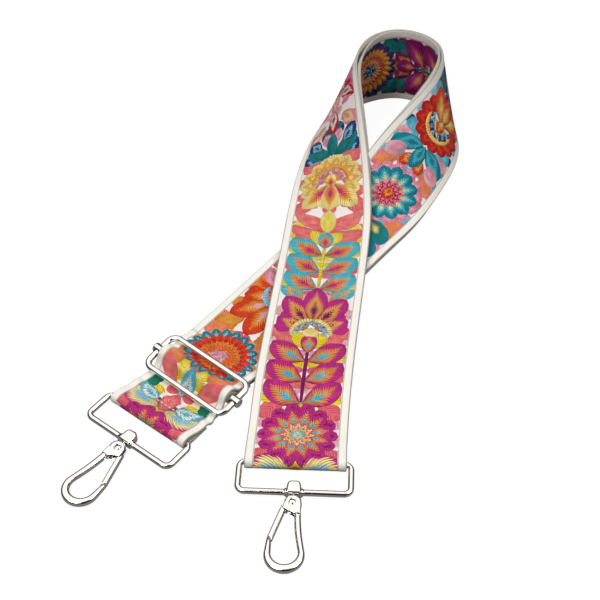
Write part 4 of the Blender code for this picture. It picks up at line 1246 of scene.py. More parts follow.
def paisleys(m, drop, inner, fill, second):
    """Two curled drops with a bud between them."""
    m.pair(-1.0, 9.0, 78, 13.0, 11.0, fill)
    m.pair(8.0, 14.0, 66, 9.0, 9.0, second)
    m.pair(22.0, 8.0, 46, 18.0, 11.0, second)
    m.pair(26.0, 1.0, 36, 13.0, 9.0, fill)
    m.pair(1.5, 3.0, 62, 30.0, 17.0, drop, bend=-100, belly=0.36, blunt=0.55, layer=1)
    m.pair(6.0, 6.4, 60, 17.5, 8.4, inner, bend=-84, belly=0.38, layer=2)
    m.petal(-1.0, 0, 0, 18.0, 10.0, second, layer=3)
    m.petal(15.0, 0, 0, 20.0, 10.0, inner, blunt=0.75, layer=2)


def scrolls(m, first, second, middle):
    """Two pairs of curved leaves round a pointed bud."""
    m.pair(2.0, 12.0, 60, 11.0, 10.0, middle)
    m.pair(-1.0, 1.5, 72, 22.0, 10.0, first, bend=-64, belly=0.45, layer=1)
    m.pair(7.5, 0.8, 62, 21.0, 10.5, second, bend=-54, belly=0.45, layer=2)
    m.petal(0.0, 0, 0, 19.0, 10.0, middle, layer=3)


def buds(m, leaf, bud, middle):
    """Leaf pairs with buds."""
    m.pair(-1.0, 9.0, 72, 12.0, 10.0, bud)
    m.pair(0.0, 1.5, 58, 21.0, 11.0, leaf, bend=-20, layer=1)
    m.pair(7.5, 9.0, 44, 14.0, 9.6, bud, layer=2)
    m.pair(8.0, 1.0, 30, 12.0, 8.0, middle, layer=2)
    m.petal(-0.5, 0, 0, 17.5, 9.0, leaf, layer=3)


def fill_ground(m, length, threads):
    """Small leaves under a motif, that show where it leaves the ground bare."""
    chance = np.random.default_rng(round(m.at) % LEAF_SEEDS)
    for i, x in enumerate(np.arange(1.0, length, LEAF_SPACING)):
        for j, y in enumerate(LEAF_ROWS):
            lean, tone, kept = chance.random(3)
            thread = threads[int(tone * len(threads))]
            if kept > LEAVES_LEFT_OUT:
                angle = LEAF_LEANS_DEG[(i + j) % 2] + LEAF_VARIATION_DEG * lean
                m.pair(x, y - LEAF_DROP, angle, LEAF_LENGTH, LEAF_WIDTH, thread, layer=LEAF_LAYER)


# Motifs along the band from the right ring's fold: what, its length in millimetres, the threads of the
# small leaves under it, and its own threads in the order of its function's arguments
LAYOUT = (
    (
        rosette, 42, "coral blush yellow",
        "magenta plum", "magenta orange cyan", "coral straw", "sky straw", "coral", "yellow",
    ),
    (spray, 45, "coral blush coral yellow", "magenta orange cyan", "coral salmon", "yellow", "plum"),
    (palm, 36, "coral cyan blush", "magenta amber plum", "straw", "ice sky", "coral salmon", "cyan amber"),
    (spray, 45, "coral blush coral yellow", "cyan orange magenta", "coral salmon", "yellow straw", "yellow"),
    (scrolls, 20, "coral salmon", "coral salmon", "salmon coral", "straw yellow"),
    (
        cup, 41, "coral salmon",
        "straw amber", "amber orange", "blush pink", "straw orange magenta", "coral salmon",
    ),
    (buds, 17, "green navy pink", "teal green", "navy sky", "blush pink"),
    (paisleys, 34, "blush pink", "blush pink red", "red white", "navy teal", "pink straw"),
    (palm, 36, "green navy blush", "pink blush red", "red scarlet", "white ice", "teal green", "navy teal"),
    (spray, 45, "plum plum teal", "plum magenta amber", "green teal", "plum orange", "green"),
    (
        aster, 42, "plum navy",
        "navy plum", "amber orange magenta", "scarlet straw", "navy sky", "green teal", "orange",
    ),
    (cup, 41, "navy sky", "red scarlet", "amber straw", "navy sky", "scarlet amber straw", "cyan sky"),
    (buds, 17, "cyan salmon", "teal cyan", "blush pink", "scarlet amber"),
    (
        rosette, 42, "sky salmon",
        "pink blush", "teal cyan straw", "pink red", "scarlet amber", "salmon orange", "sky",
    ),
    (spray, 45, "salmon orange", "teal green straw", "pink blush", "orange salmon", "sky"),
    (paisleys, 34, "salmon coral", "salmon orange scarlet", "pink blush", "salmon coral", "amber orange"),
    (
        palm, 36, "salmon orange",
        "scarlet orange blush", "sky cyan", "pink blush", "salmon coral", "orange amber",
    ),
    (
        aster, 42, "salmon orange",
        "teal sky", "scarlet red salmon", "orange scarlet", "blush pink", "salmon orange", "coral",
    ),
    (paisleys, 34, "yellow coral green", "magenta straw sky", "cyan white", "yellow straw", "coral salmon"),
)

# Motifs that face the other way along the band
TURNED_ROUND = (cup, paisleys)


def lay_motifs(low, high, settings):
    """Petals of the motifs that lie wholly or partly between two places along the band, in millimetres."""
    total = sum(row[1] for row in LAYOUT)
    motifs = Motifs(settings)
    turn = math.floor(low / total) - 1
    at = turn * total
    while at < high:
        for motif, length, small_leaves, *threads in LAYOUT:
            motifs.at = at
            motifs.turned_in = length if motif in TURNED_ROUND else None
            if at + length > low and at < high:
                fill_ground(motifs, length, small_leaves.split())
                motif(motifs, *threads)
            at += length
    return motifs


def keep_between(motifs, low, high, start, end):
    """Keeps the petals whose middle is between low and high, and that stay between start and end."""
    along = np.array(motifs.points)[:, 0]
    seeds = np.array([stitch[2] for stitch in motifs.stitch])
    owner = np.concatenate([[0], np.cumsum(np.diff(seeds) != 0)])
    inside = []
    for i in range(owner[-1] + 1):
        own = along[owner == i]
        inside.append(low <= (own.min() + own.max()) / 2 < high and own.min() > start and own.max() < end)
    keep = np.array(inside)[owner]
    renumber = np.cumsum(keep) - 1

    def chosen(values):
        return [value for value, ok in zip(values, keep) if ok]

    motifs.faces = [tuple(int(renumber[v]) for v in face) for face in motifs.faces if keep[face[0]]]
    motifs.points = chosen(motifs.points)
    motifs.petal_uv = chosen(motifs.petal_uv)
    motifs.colours = {part: chosen(values) for part, values in motifs.colours.items()}
    motifs.stitch = chosen(motifs.stitch)


def new_tree(name, inputs):
    """A Geometry Nodes tree with its named inputs, the short calls for its nodes, and what it is given."""
    tree = bpy.data.node_groups.new(name, "GeometryNodeTree")
    tree.interface.new_socket("Geometry", in_out="OUTPUT", socket_type="NodeSocketGeometry")
    for label, kind in {"Geometry": "Geometry", **inputs}.items():
        tree.interface.new_socket(label, in_out="INPUT", socket_type="NodeSocket" + kind)
    n = Nodes(tree)
    return tree, n, n.add("NodeGroupInput").outputs


def lay_on_band_tree():
    """Geometry Nodes: moves flat geometry, placed in the band's own measure, onto the band's surface."""
    tree, n, given = new_tree("Lay on band", {"Band": "Object", "Rise": "Float", "Thread": "Material"})
    band = n.add("GeometryNodeObjectInfo", {"Object": given["Band"]}, transform_space="ORIGINAL")
    position = n.add("GeometryNodeInputPosition").outputs[0]
    along, across, height = n.split(position)
    flat = n.add("ShaderNodeCombineXYZ", {0: along, 1: across}).outputs[0]
    web = n.add("GeometryNodeInputNamedAttribute", {"Name": "web"}, data_type="FLOAT_VECTOR")
    out = n.add("GeometryNodeInputNamedAttribute", {"Name": "out"}, data_type="FLOAT_VECTOR")
    found = []
    for value in (position, out.outputs[0]):
        inputs = {"Mesh": band.outputs["Geometry"], "Value": value}
        inputs |= {"UV Map": web.outputs[0], "Sample UV": flat}
        sample = n.add("GeometryNodeSampleUVSurface", inputs, data_type="FLOAT_VECTOR")
        found.append(sample.outputs["Value"])
    lift = n.scale(found[1], n.math("ADD", height, given["Rise"]))
    place = n.add("ShaderNodeVectorMath", {0: found[0], 1: lift}, operation="ADD")
    inputs = {"Geometry": given["Geometry"], "Position": place.outputs[0]}
    moved = n.add("GeometryNodeSetPosition", inputs)
    real = n.add("GeometryNodeRealizeInstances", {"Geometry": moved.outputs[0]})
    inputs = {"Geometry": real.outputs[0], "Material": given["Thread"]}
    n.add("NodeGroupOutput", {0: n.add("GeometryNodeSetMaterial", inputs).outputs[0]})
    return tree


def stitch_row_tree():
    """Geometry Nodes: a row of stitches across the band, in the band's own measure."""
    kinds = {"Count": "Int", "Start": "Vector", "Pitch": "Vector", "Length": "Float", "Radius": "Float"}
    tree, n, given = new_tree("Stitch row", kinds)
    inputs = {"Count": given["Count"], "Start Location": given["Start"], "Offset": given["Pitch"]}
    line = n.add("GeometryNodeMeshLine", inputs, mode="OFFSET")
    ball = n.add("GeometryNodeMeshUVSphere", {"Segments": 8, "Rings": 6, "Radius": given["Radius"]})
    stretch = n.math("DIVIDE", n.math("MULTIPLY", given["Length"], 0.5), given["Radius"])
    scale = n.add("ShaderNodeCombineXYZ", {0: 1.0, 1: stretch, 2: STITCH_HEIGHT})
    inputs = {"Geometry": ball.outputs["Mesh"], "Scale": scale.outputs[0]}
    stitch = n.add("GeometryNodeTransform", inputs)
    inputs = {"Points": line.outputs[0], "Instance": stitch.outputs[0]}
    copies = n.add("GeometryNodeInstanceOnPoints", inputs)
    real = n.add("GeometryNodeRealizeInstances", {"Geometry": copies.outputs[0]})
    n.add("NodeGroupOutput", {0: real.outputs[0]})
    return tree


def add_tree(obj, tree, inputs):
    """Puts a node tree on the object with its inputs set by name."""
    modifier = obj.modifiers.new(tree.name, "NODES")
    modifier.node_group = tree
    for item in tree.interface.items_tree:
        if item.item_type == "SOCKET" and item.in_out == "INPUT" and item.name in inputs:
            modifier[item.identifier] = inputs[item.name]


# Metal


def plate(name, outlines, thickness, rounding):
    """A flat piece inside its outlines, its middle at height 0, with its edges rounded."""
    curve = bpy.data.curves.new(name, "CURVE")
    curve.dimensions = "2D"
    curve.fill_mode = "BOTH"
    curve.extrude = thickness / 2 - rounding
    curve.bevel_depth = rounding
    curve.bevel_resolution = EDGE_STEPS
    curve.offset = -rounding
    for points in outlines:
        spline = curve.splines.new("POLY")
        spline.points.add(len(points) - 1)
        for point, (x, y) in zip(spline.points, points):
            point.co = (x, y, 0, 1)
        spline.use_cyclic_u = True
    data = baked(add_object(name, curve))
    reshaped(data, lambda bm: bmesh.ops.remove_doubles(bm, verts=bm.verts, dist=GAP / 100))
    return add_object(name, data)


def turned(name, profile, steps, matrix=Matrix()):
    """A round piece from its profile of (radius, height), listed from its top end to its bottom end."""
    data = bpy.data.meshes.new(name)
    edges = [(i, i + 1) for i in range(len(profile) - 1)]
    data.from_pydata([(radius, 0, height) for radius, height in profile], edges, [])
    obj = add_object(name, data)
    screw = obj.modifiers.new("Turn", "SCREW")
    screw.steps = screw.render_steps = steps
    screw.use_merge_vertices = True
    screw.merge_threshold = 0.00001
    screw.use_smooth_shade = True
    mesh = baked(obj)
    mesh.transform(matrix)
    return add_object(name, mesh)


def both_ends(half_profile):
    """A whole profile from its top half, with its bottom half alike."""
    return half_profile + [(radius, -height) for radius, height in reversed(half_profile)]


def drill(name, radius, top, bottom, steps, matrix=Matrix()):
    """A plain round cutter between two heights."""
    return turned(name, ((0, top), (radius, top), (radius, bottom), (0, bottom)), steps, matrix)


def box(name, size, centre):
    place = Matrix.Translation(centre) @ Matrix.Diagonal((*size, 1))
    data = bpy.data.meshes.new(name)
    reshaped(data, lambda bm: bmesh.ops.create_cube(bm, size=1, matrix=place))
    return add_object(name, data)


def combine(obj, others, operation):
    """The object after it is joined with the others, or cut by them. The others are removed."""
    for other in others:
        boolean = obj.modifiers.new(other.name, "BOOLEAN")
        boolean.operation = operation
        boolean.object = other
        boolean.solver = "EXACT"
        boolean.use_hole_tolerant = True
    name = obj.name
    data = baked(obj)
    for other in others:
        bpy.data.objects.remove(other, do_unlink=True)
    return add_object(name, data)


def cast(obj, voxel, smoothing):
    """Softens every edge and inside corner, as a polished casting has them."""
    remesh = obj.modifiers.new("Even skin", "REMESH")
    remesh.mode = "VOXEL"
    remesh.voxel_size = voxel
    remesh.use_smooth_shade = True
    smooth = obj.modifiers.new("Polish", "SMOOTH")
    smooth.factor = 0.5
    smooth.iterations = smoothing


def finish_metal(obj, matrix, material, body, node):
    """Puts a metal piece in its place, plates it, ties it to its body, and hides the node that it stands
    for.
    """
    obj = settle(obj, matrix)
    obj.data.shade_smooth()
    obj.data.set_sharp_from_angle(angle=math.radians(SHARP_DEG))
    obj.data.materials.clear()
    obj.data.materials.append(material)
    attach(obj, body)
    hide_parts(node)


def rounded_rectangle(width, height, top_radius, bottom_radius):
    points = []
    for start_deg, x_side, y_side in ((0, 1, 1), (90, -1, 1), (180, -1, -1), (270, 1, -1)):
        radius = top_radius if y_side > 0 else bottom_radius
        centre = (x_side * (width / 2 - radius), y_side * (height / 2 - radius))
        points += arc(centre, radius, start_deg, start_deg + 90, 12)
    return points


def frame_outlines(width, height, bar, corner, bottom_corner):
    outer_corner = corner + bar / 2
    outer = rounded_rectangle(width + bar, height + bar, outer_corner, outer_corner)
    inner = rounded_rectangle(width - bar, height - bar, corner - bar / 2, bottom_corner)
    return outer, inner[::-1]


def joint_named(name):
    return next(j for j in frame["record"]["behaviour"]["joints"] if j["name"] == name)


def axes_matrix(origin, x_axis, y_axis, z_axis):
    matrix = Matrix((x_axis, y_axis, z_axis)).transposed().to_4x4()
    matrix.translation = origin
    return matrix


def ring_matrix(side):
    hinge = joint_named(side + "_ring_hinge")
    out = Vector(joint_named(side + "_swivel")["axis"])
    across = Vector(hinge["axis"])
    return axes_matrix(Vector(hinge["pos_m"]), across, out, across.cross(out))


def hook_matrix(side):
    swivel = joint_named(side + "_swivel")
    out = Vector(swivel["axis"])
    face = -Vector(joint_named(side + "_gate_hinge")["axis"])
    return axes_matrix(Vector(swivel["pos_m"]), out.cross(face), out, face)


QUARTER_X = Matrix.Rotation(math.radians(-90), 4, "X")
QUARTER_Y = Matrix.Rotation(math.radians(90), 4, "Y")
AT_PIVOT = Matrix.Translation((PIVOT_ASIDE, HEAD_OUT, 0))


def make_ring(side, settings, material):
    name = side + "_ring"
    outlines = frame_outlines(RING_WIDTH, RING_SPACING, RING_BAR, RING_CORNER, RING_FOLD_CORNER)
    ring = plate(name + "_cast", outlines, RING_BAR, RING_ROUNDING)
    ring.data.transform(Matrix.Translation((0, RING_SPACING / 2, 0)))
    at_bar = Matrix.Translation((0, RING_SPACING, 0))
    bell = [(BOSS_RADIUS * BELL_SPREAD * share, -BOSS_INSIDE * place) for share, place in BELL_SHARES]
    boss = plate("boss", (bell + [(-x, y) for x, y in reversed(bell)],), BELL_THICKNESS, BELL_ROUNDING)
    boss.data.transform(at_bar)
    soft = RING_ROUNDING / 2
    rim = arc((BOSS_COLLAR_RADIUS - soft, BOSS_COLLAR_HALF - soft), soft, 90, 0, 4)
    collar = turned("collar", both_ends([(0, BOSS_COLLAR_HALF)] + rim), 32, at_bar @ QUARTER_Y)
    ring = combine(ring, [boss, collar], "UNION")
    reach = BOSS_INSIDE + BOSS_OUTSIDE
    bore = drill("bore", POST_RADIUS + GAP, reach, -reach, 32, at_bar @ QUARTER_X)
    ring = combine(ring, [bore], "DIFFERENCE")
    cast(ring, settings.casting_grain, smoothing=6)
    finish_metal(ring, ring_matrix(side), material, name, name)


def make_rivet(side, material):
    """A domed head inside the ring, and a post through its boss into the hook."""
    under = -BOSS_INSIDE * BELL_SHARES[-1][1] - GAP
    post_end = BOSS_OUTSIDE + GAP + RIVET_SEAT
    head_radius = RIVET_HEAD_RADIUS * STUD_SHARE
    head_height = RIVET_HEAD_HEIGHT * STUD_SHARE
    profile = [(0, post_end), (POST_RADIUS, post_end), (POST_RADIUS, under), (head_radius, under)]
    profile += [(head_radius * x, under - head_height * y) for x, y in arc((0, 0), 1, 0, 90, 8)]
    profile[-1] = (0, under - head_height)
    rivet = turned(side + "_swivel_stud", profile, 40, QUARTER_X)
    finish_metal(rivet, hook_matrix(side), material, side + "_hook", side + "_swivel_rivet")


def notch_points():
    """Both corners of the hook's nose, on which the gate closes: at its outside and at its inside."""
    bowl_left = BOWL_ASIDE - BOWL_RADIUS
    outer = Vector((bowl_left + NOSE_LEAN, BOWL_OUT - NOSE_LENGTH))
    inner = Vector((bowl_left + HOOK_WIRE, BOWL_OUT - NOSE_LENGTH + NOTCH_RISE))
    return outer, inner


def blade_outline():
    """The hook's outline without its head: down the spine, round the bowl to the nose, and back inside."""
    lean = math.radians(SPINE_LEAN_DEG)
    tangent = Vector((math.sin(lean), math.cos(lean)))
    inner_radius = BOWL_RADIUS - HOOK_WIRE
    inner_bowl = (BOWL_ASIDE, HOOK_REACH - BOWL_FLOOR - inner_radius)
    outer_arc = arc((BOWL_ASIDE, BOWL_OUT), BOWL_RADIUS, -SPINE_LEAN_DEG, 184, 40)
    inner_arc = arc(inner_bowl, inner_radius, 180, -SPINE_LEAN_DEG, 32)
    handle = (BOWL_OUT - HEAD_OUT) / 3
    outer_top = (SPINE_ASIDE, HEAD_OUT)
    outer_end = outer_arc[0]
    outer_handle = (outer_end[0] - tangent.x * handle, outer_end[1] - tangent.y * handle)
    outer_spine = bezier(outer_top, (SPINE_ASIDE, HEAD_OUT + handle), outer_handle, outer_end, 16)
    inner_top = (SPINE_INNER_ASIDE, HEAD_OUT + SPRING_DROP)
    inner_end = inner_arc[-1]
    inner_handle = (inner_end[0] - tangent.x * handle, inner_end[1] - tangent.y * handle)
    inner_spine = bezier(inner_end, inner_handle, (SPINE_INNER_ASIDE, inner_top[1] + handle), inner_top, 16)
    notch_outer, notch_inner = notch_points()
    inside_head = [
        (SPINE_INNER_ASIDE, HEAD_OUT - HEAD_RADIUS / 3),
        (SPINE_ASIDE - HEAD_RADIUS / 4, HEAD_OUT - HEAD_RADIUS / 3),
    ]
    nose = [tuple(notch_outer), tuple(notch_inner)]
    return outer_spine[:-1] + outer_arc + nose + inner_arc + inner_spine[1:] + inside_head


def make_hook(side, settings, material):
    blade = plate(side + "_snap_hook", (blade_outline(),), HOOK_THICKNESS, HOOK_ROUNDING)
    head_outline = arc((HEAD_ASIDE, HEAD_OUT), HEAD_RADIUS, HEAD_FROM_DEG, HEAD_TO_DEG, 40)
    head = plate("head", (head_outline,), HEAD_THICKNESS, HEAD_ROUNDING)
    cheek_low = HEAD_OUT + HEAD_RADIUS + CHEEK_DROP
    cheek_outline = (
        (HEAD_ASIDE - HEAD_RADIUS, HEAD_OUT),
        (SPINE_ASIDE, HEAD_OUT),
        (SPINE_ASIDE, cheek_low),
        (SPINE_INNER_ASIDE, cheek_low),
        (HEAD_ASIDE - HEAD_RADIUS * CHEEK_SPREAD, cheek_low - 2 * CHEEK_SLOPE),
    )
    cheeks = plate("cheeks", (cheek_outline,), HEAD_THICKNESS - CHEEK_CLEARANCE, HEAD_ROUNDING / 2)
    hook = combine(blade, [head, cheeks], "UNION")

    # The slot for the gate's tongue, open on the gate's side
    slot_top = HEAD_OUT - TONGUE_RADIUS - GAP
    slot_bottom = cheek_low + CHEEK_SLOPE
    slot_right = PIVOT_ASIDE + TONGUE_RADIUS + GAP
    slot_left = HEAD_ASIDE - 2 * HEAD_RADIUS
    slot_size = (slot_right - slot_left, slot_bottom - slot_top, TONGUE_THICKNESS + 2 * GAP)
    slot = box("slot", slot_size, ((slot_left + slot_right) / 2, (slot_top + slot_bottom) / 2, 0))

    # The gate's shoulder turns in a groove round its pivot, which leaves the spine whole
    gate_room = HEAD_RADIUS + abs(PIVOT_ASIDE - HEAD_ASIDE)
    wide_half = LEVER_THICKNESS / 2 + CHEEK_CLEARANCE
    groove_profile = (
        (gate_room, wide_half),
        (3 * HEAD_RADIUS, wide_half),
        (3 * HEAD_RADIUS, -wide_half),
        (gate_room, -wide_half),
        (gate_room, wide_half),
    )
    gate_way = turned("gate_way", groove_profile, 64, AT_PIVOT)
    spine_centre = (SPINE_INNER_ASIDE + 2 * HEAD_RADIUS, HEAD_OUT, 0)
    spine_side = box("spine_side", (4 * HEAD_RADIUS, 8 * HEAD_RADIUS, HEAD_THICKNESS), spine_centre)
    gate_way = combine(gate_way, [spine_side], "DIFFERENCE")

    # Recesses round the gate's rivet, its hole, and the hole for the swivel's post
    recess_floor = HEAD_THICKNESS / 2 - RIVET_RECESS
    clear_of_head = HEAD_THICKNESS * 3 / 4
    moats = []
    for low, high in ((-clear_of_head, -recess_floor), (recess_floor, clear_of_head)):
        moats.append(drill("moat", PIN_HEAD_RADIUS + RIVET_MOAT, high, low, 40, AT_PIVOT))
    pin_hole = drill("pin_hole", PIN_RADIUS + GAP / 2, HEAD_THICKNESS, -HEAD_THICKNESS, 24, AT_PIVOT)
    post_end = BOSS_OUTSIDE + GAP + RIVET_SEAT + GAP / 2
    post_hole = drill("post_hole", POST_RADIUS + GAP, post_end, 0, 24, QUARTER_X)
    for cutter in (*moats, slot, pin_hole, post_hole, gate_way):
        hook = combine(hook, [cutter], "DIFFERENCE")
    cast(hook, settings.casting_grain, smoothing=5)
    finish_metal(hook, hook_matrix(side), material, side + "_hook", side + "_hook_body")


def gate_outlines():
    """Outlines round the gate's pivot: its lever from the nose to its shoulder, and its tongue."""
    pivot = Vector((PIVOT_ASIDE, HEAD_OUT))
    notch_outer, notch_inner = notch_points()
    slope = (notch_inner - notch_outer).normalized()
    clear = Vector((slope.y, -slope.x)) * GAP
    tip_outer = notch_outer + clear - pivot
    tip_inner = notch_inner + clear - pivot
    tip = (tip_outer + tip_inner) / 2
    lean = math.atan2(-tip.x, tip.y) - math.asin(LEVER_ASIDE / tip.length)
    towards_head = Vector((math.sin(lean), -math.cos(lean)))
    shoulder = HEAD_RADIUS + abs(PIVOT_ASIDE - HEAD_ASIDE) + SHOULDER_CLEARANCE
    corners = []
    for tip in (tip_outer, tip_inner):
        along = -tip.dot(towards_head)
        square = shoulder**2 - (tip + towards_head * along).length_squared
        corners.append(tip + towards_head * (along - math.sqrt(square)))
    start, end = (math.degrees(math.atan2(c.y, c.x)) % 360 for c in corners)
    lever = [tuple(tip_outer), tuple(tip_inner)] + arc((0, 0), shoulder, end, start, 12)
    middle = (corners[0] + corners[1]) / 2 - towards_head * TONGUE_LAP
    half = (corners[0] - corners[1]).length / 2 - LEVER_ROUNDING
    way = math.degrees(math.atan2(middle.y, middle.x))
    side = (corners[1] - corners[0]).normalized() * half
    tongue = arc((0, 0), TONGUE_RADIUS, way + 90, way + 270, 24)
    tongue += [tuple(middle + side), tuple(middle - side)]
    return lever, tongue


def make_gate(side, settings, material):
    lever_outline, tongue_outline = gate_outlines()
    gate = plate(side + "_gate_lever", (lever_outline,), LEVER_THICKNESS, LEVER_ROUNDING)
    tongue = plate("tongue", (tongue_outline,), TONGUE_THICKNESS, GAP)
    gate = combine(gate, [tongue], "UNION")
    hole = drill("hole", PIN_RADIUS + GAP / 2, LEVER_THICKNESS, -LEVER_THICKNESS, 24)
    gate = combine(gate, [hole], "DIFFERENCE")
    cast(gate, settings.casting_grain * SMALL_GRAIN, smoothing=3)
    finish_metal(gate, hook_matrix(side) @ AT_PIVOT, material, side + "_gate", side + "_gate")


def make_gate_pin(side, material):
    under = HEAD_THICKNESS / 2 - RIVET_RECESS + GAP / 10
    top = under + RIVET_RECESS + PIN_HEAD_HEIGHT
    half_profile = [(0, top), (PIN_HEAD_RADIUS - RIVET_CHAMFER, top)]
    half_profile += [(PIN_HEAD_RADIUS, top - RIVET_CHAMFER), (PIN_HEAD_RADIUS, under), (PIN_RADIUS, under)]
    pin = turned(side + "_gate_rivet", both_ends(half_profile), 32)
    finish_metal(pin, hook_matrix(side) @ AT_PIVOT, material, side + "_hook", side + "_gate_pin")


def make_slider(settings, material):
    foot, along, across = slider_axes()
    turn = Matrix.Rotation(math.radians(SLIDER_SKEW_DEG), 3, "Z")
    along = turn @ along
    across = turn @ across
    tilted = along * math.cos(SLIDER_TILT) + UP * math.sin(SLIDER_TILT)
    place = axes_matrix(foot + UP * CENTRE_BAR_HEIGHT, tilted, across, tilted.cross(across))
    inner_corner = SLIDER_CORNER - SLIDER_BAR_WIDTH / 2
    outlines = frame_outlines(SLIDER_SPACING, SLIDER_WIDTH, SLIDER_BAR_WIDTH, SLIDER_CORNER, inner_corner)
    outer = plate("slider_casting", outlines, SLIDER_BAR_HEIGHT, SLIDER_ROUNDING)
    cast(outer, settings.casting_grain, smoothing=4)
    finish_metal(outer, place, material, "slider_frame", "slider_frame")

    arm = SLIDER_WIDTH / 2
    hole_half = SLIDER_BAR_WIDTH / 2 + GAP
    inner_face = arm - hole_half - EYE_WALL
    outer_face = arm + hole_half + EYE_OUTER_WALL
    rim = EYE_ROUNDING
    half_profile = [(0, outer_face)] + arc((EYE_RADIUS - rim, outer_face - rim), rim, 90, 0, 6)
    half_profile += arc((EYE_RADIUS - rim / 2, inner_face + rim / 2), rim / 2, 0, -90, 4)
    half_profile += [(CENTRE_BAR_RADIUS, inner_face)]
    bar = turned("slider_crossbar", both_ends(half_profile), 40, QUARTER_X)
    hole_size = (EYE_RADIUS * 3, hole_half * 2, SLIDER_BAR_HEIGHT + 2 * GAP)
    holes = [box(f"eye_{side}", hole_size, (0, side * arm, 0)) for side in (-1, 1)]
    bar = combine(bar, holes, "DIFFERENCE")
    cast(bar, settings.casting_grain * SMALL_GRAIN, smoothing=3)
    finish_metal(bar, place, material, "slider_bar", "slider_centre_bar")


# Stage


def make_stage(settings):
    """A pale floor, a room that is bright overhead and dark behind the camera, two lights and the camera."""
    scene = bpy.context.scene
    scene.view_settings.view_transform = "Standard"
    bpy.ops.mesh.primitive_plane_add(size=settings.floor_size, location=(0, 0, -FLOOR_DROP))
    floor = bpy.context.object
    floor.name = "floor"
    material, n, shader = new_material("pale_floor")
    path = n.add("ShaderNodeLightPath").outputs
    mirrored = n.math("MULTIPLY", path["Is Glossy Ray"], settings.mirrored_glow)
    seen = n.math("MAXIMUM", path["Is Camera Ray"], mirrored)
    seen = n.math("MAXIMUM", seen, path["Is Transmission Ray"])
    glow = n.math("MULTIPLY", seen, settings.floor_glow)
    n.feed(shader, {"Base Color": rgba(settings.floor_colour), "Roughness": 0.9, "Specular IOR Level": 0.0})
    n.feed(shader, {"Emission Color": (1, 1, 1, 1), "Emission Strength": glow})
    floor.data.materials.append(material)

    world = bpy.data.worlds.new("soft_room")
    world.use_nodes = True
    scene.world = world
    w = Nodes(world.node_tree)
    way = w.add("ShaderNodeTexCoord").outputs["Generated"]
    above = w.ramp(w.split(way)[2], settings.sky_edge, SKY_SHARPNESS)
    near = w.add("ShaderNodeVectorMath", {0: way, 1: DARK_WAY}, operation="DOT_PRODUCT").outputs["Value"]
    dark = w.math("MULTIPLY", w.ramp(near, DARK_EDGE, SKY_SHARPNESS), DARK_SHARE)
    level = w.math("MAXIMUM", w.math("MULTIPLY", above, w.math("SUBTRACT", 1.0, dark)), LEAST_SKY)
    seen_white = w.math("MAXIMUM", level, w.add("ShaderNodeLightPath").outputs["Is Camera Ray"])
    background = world.node_tree.nodes["Background"]
    w.feed(background, {"Color": seen_white, "Strength": settings.sky_strength})

    for name, place, size, watts in (
        ("key_light", (-0.7, -0.6, 1.5), 0.9, settings.key_watts),
        ("fill_light", (0.9, -0.2, 1.2), 0.9, settings.fill_watts),
    ):
        light = bpy.data.lights.new(name, "AREA")
        light.size = size
        light.energy = watts
        lamp = add_object(name, light)
        lamp.location = place
        lamp.rotation_euler = (-Vector(place)).to_track_quat("-Z", "Y").to_euler()

    camera_data = bpy.data.cameras.new("camera")
    camera_data.lens = settings.lens
    camera_data.sensor_width = SENSOR_WIDTH
    camera = add_object("camera", camera_data)
    camera.location = settings.camera_place
    camera.rotation_euler = (math.radians(90) - settings.camera_elevation, 0, 0)
    scene.camera = camera


# Settings


def number_setting(name, description, default, **kind):
    return FloatProperty(name=name, description=description, default=default, **kind)


def distance_setting(name, description, default):
    return number_setting(name, description, default, unit="LENGTH")


def colour_setting(name, description, default):
    return FloatVectorProperty(name=name, description=description, default=default, subtype="COLOR")


class BandSettings(bpy.types.PropertyGroup):
    row_step: distance_setting("Row step", "Length of one row of faces", 0.0022)
    ground_half: distance_setting("Ground half", "Half the cloth's thickness", 0.00056)
    selvedge_half: distance_setting("Selvedge half", "Half the selvedge's thickness", 0.00072)
    groove_depth: distance_setting("Groove depth", "Groove beside the selvedge", 0.00014)
    weave_pitch: distance_setting("Weave pitch", "Distance between threads", 0.0011)
    ground_colour: colour_setting("Ground", "Colour between the motifs", (0.87, 0.78, 0.74))
    selvedge_colour: colour_setting("Selvedge", "Colour along both edges", (0.88, 0.84, 0.76))
    # Colour of the painted shade in the selvedge's groove and along the band's rim
    edge_shade_colour: colour_setting("Line", "Fine lines beside each edge", (0.36, 0.33, 0.30))
    reverse_colour: colour_setting("Reverse", "Colour of the back", (0.80, 0.72, 0.66))


class EmbroiderySettings(bpy.types.PropertyGroup):
    thread_height: distance_setting("Thread height", "How far a petal stands proud", 0.000045)
    layer_step: distance_setting("Layer step", "Rise of one petal over another", 0.000045)
    thread_pitch: distance_setting("Thread pitch", "Width of one stitch", 0.00075)
    feather: number_setting("Feather", "How ragged the colours' edges are", 0.50)
    flame_threads: number_setting("Flame threads", "Threads between two long stitches", 2.6)
    groove_shade: number_setting("Groove shade", "Darkness between bundles of thread", 0.72)
    puff: number_setting("Puff", "Roundness of a petal, in heights of its thread", 3.0)
    # How dark the painted shade along each petal's rim is
    outline: number_setting("Outline", "How dark a petal's own rim is", 0.45)
    stitch_pitch: distance_setting("Stitch pitch", "Distance between the seam's stitches", 0.0026)
    stitch_radius: distance_setting("Stitch radius", "Half the width of the seam's thread", 0.00026)


class MetalSettings(bpy.types.PropertyGroup):
    metal_colour: colour_setting("Metal", "Colour of the plating", (0.92, 0.89, 0.84))
    casting_grain: distance_setting("Casting grain", "Size of one face", 0.00016)


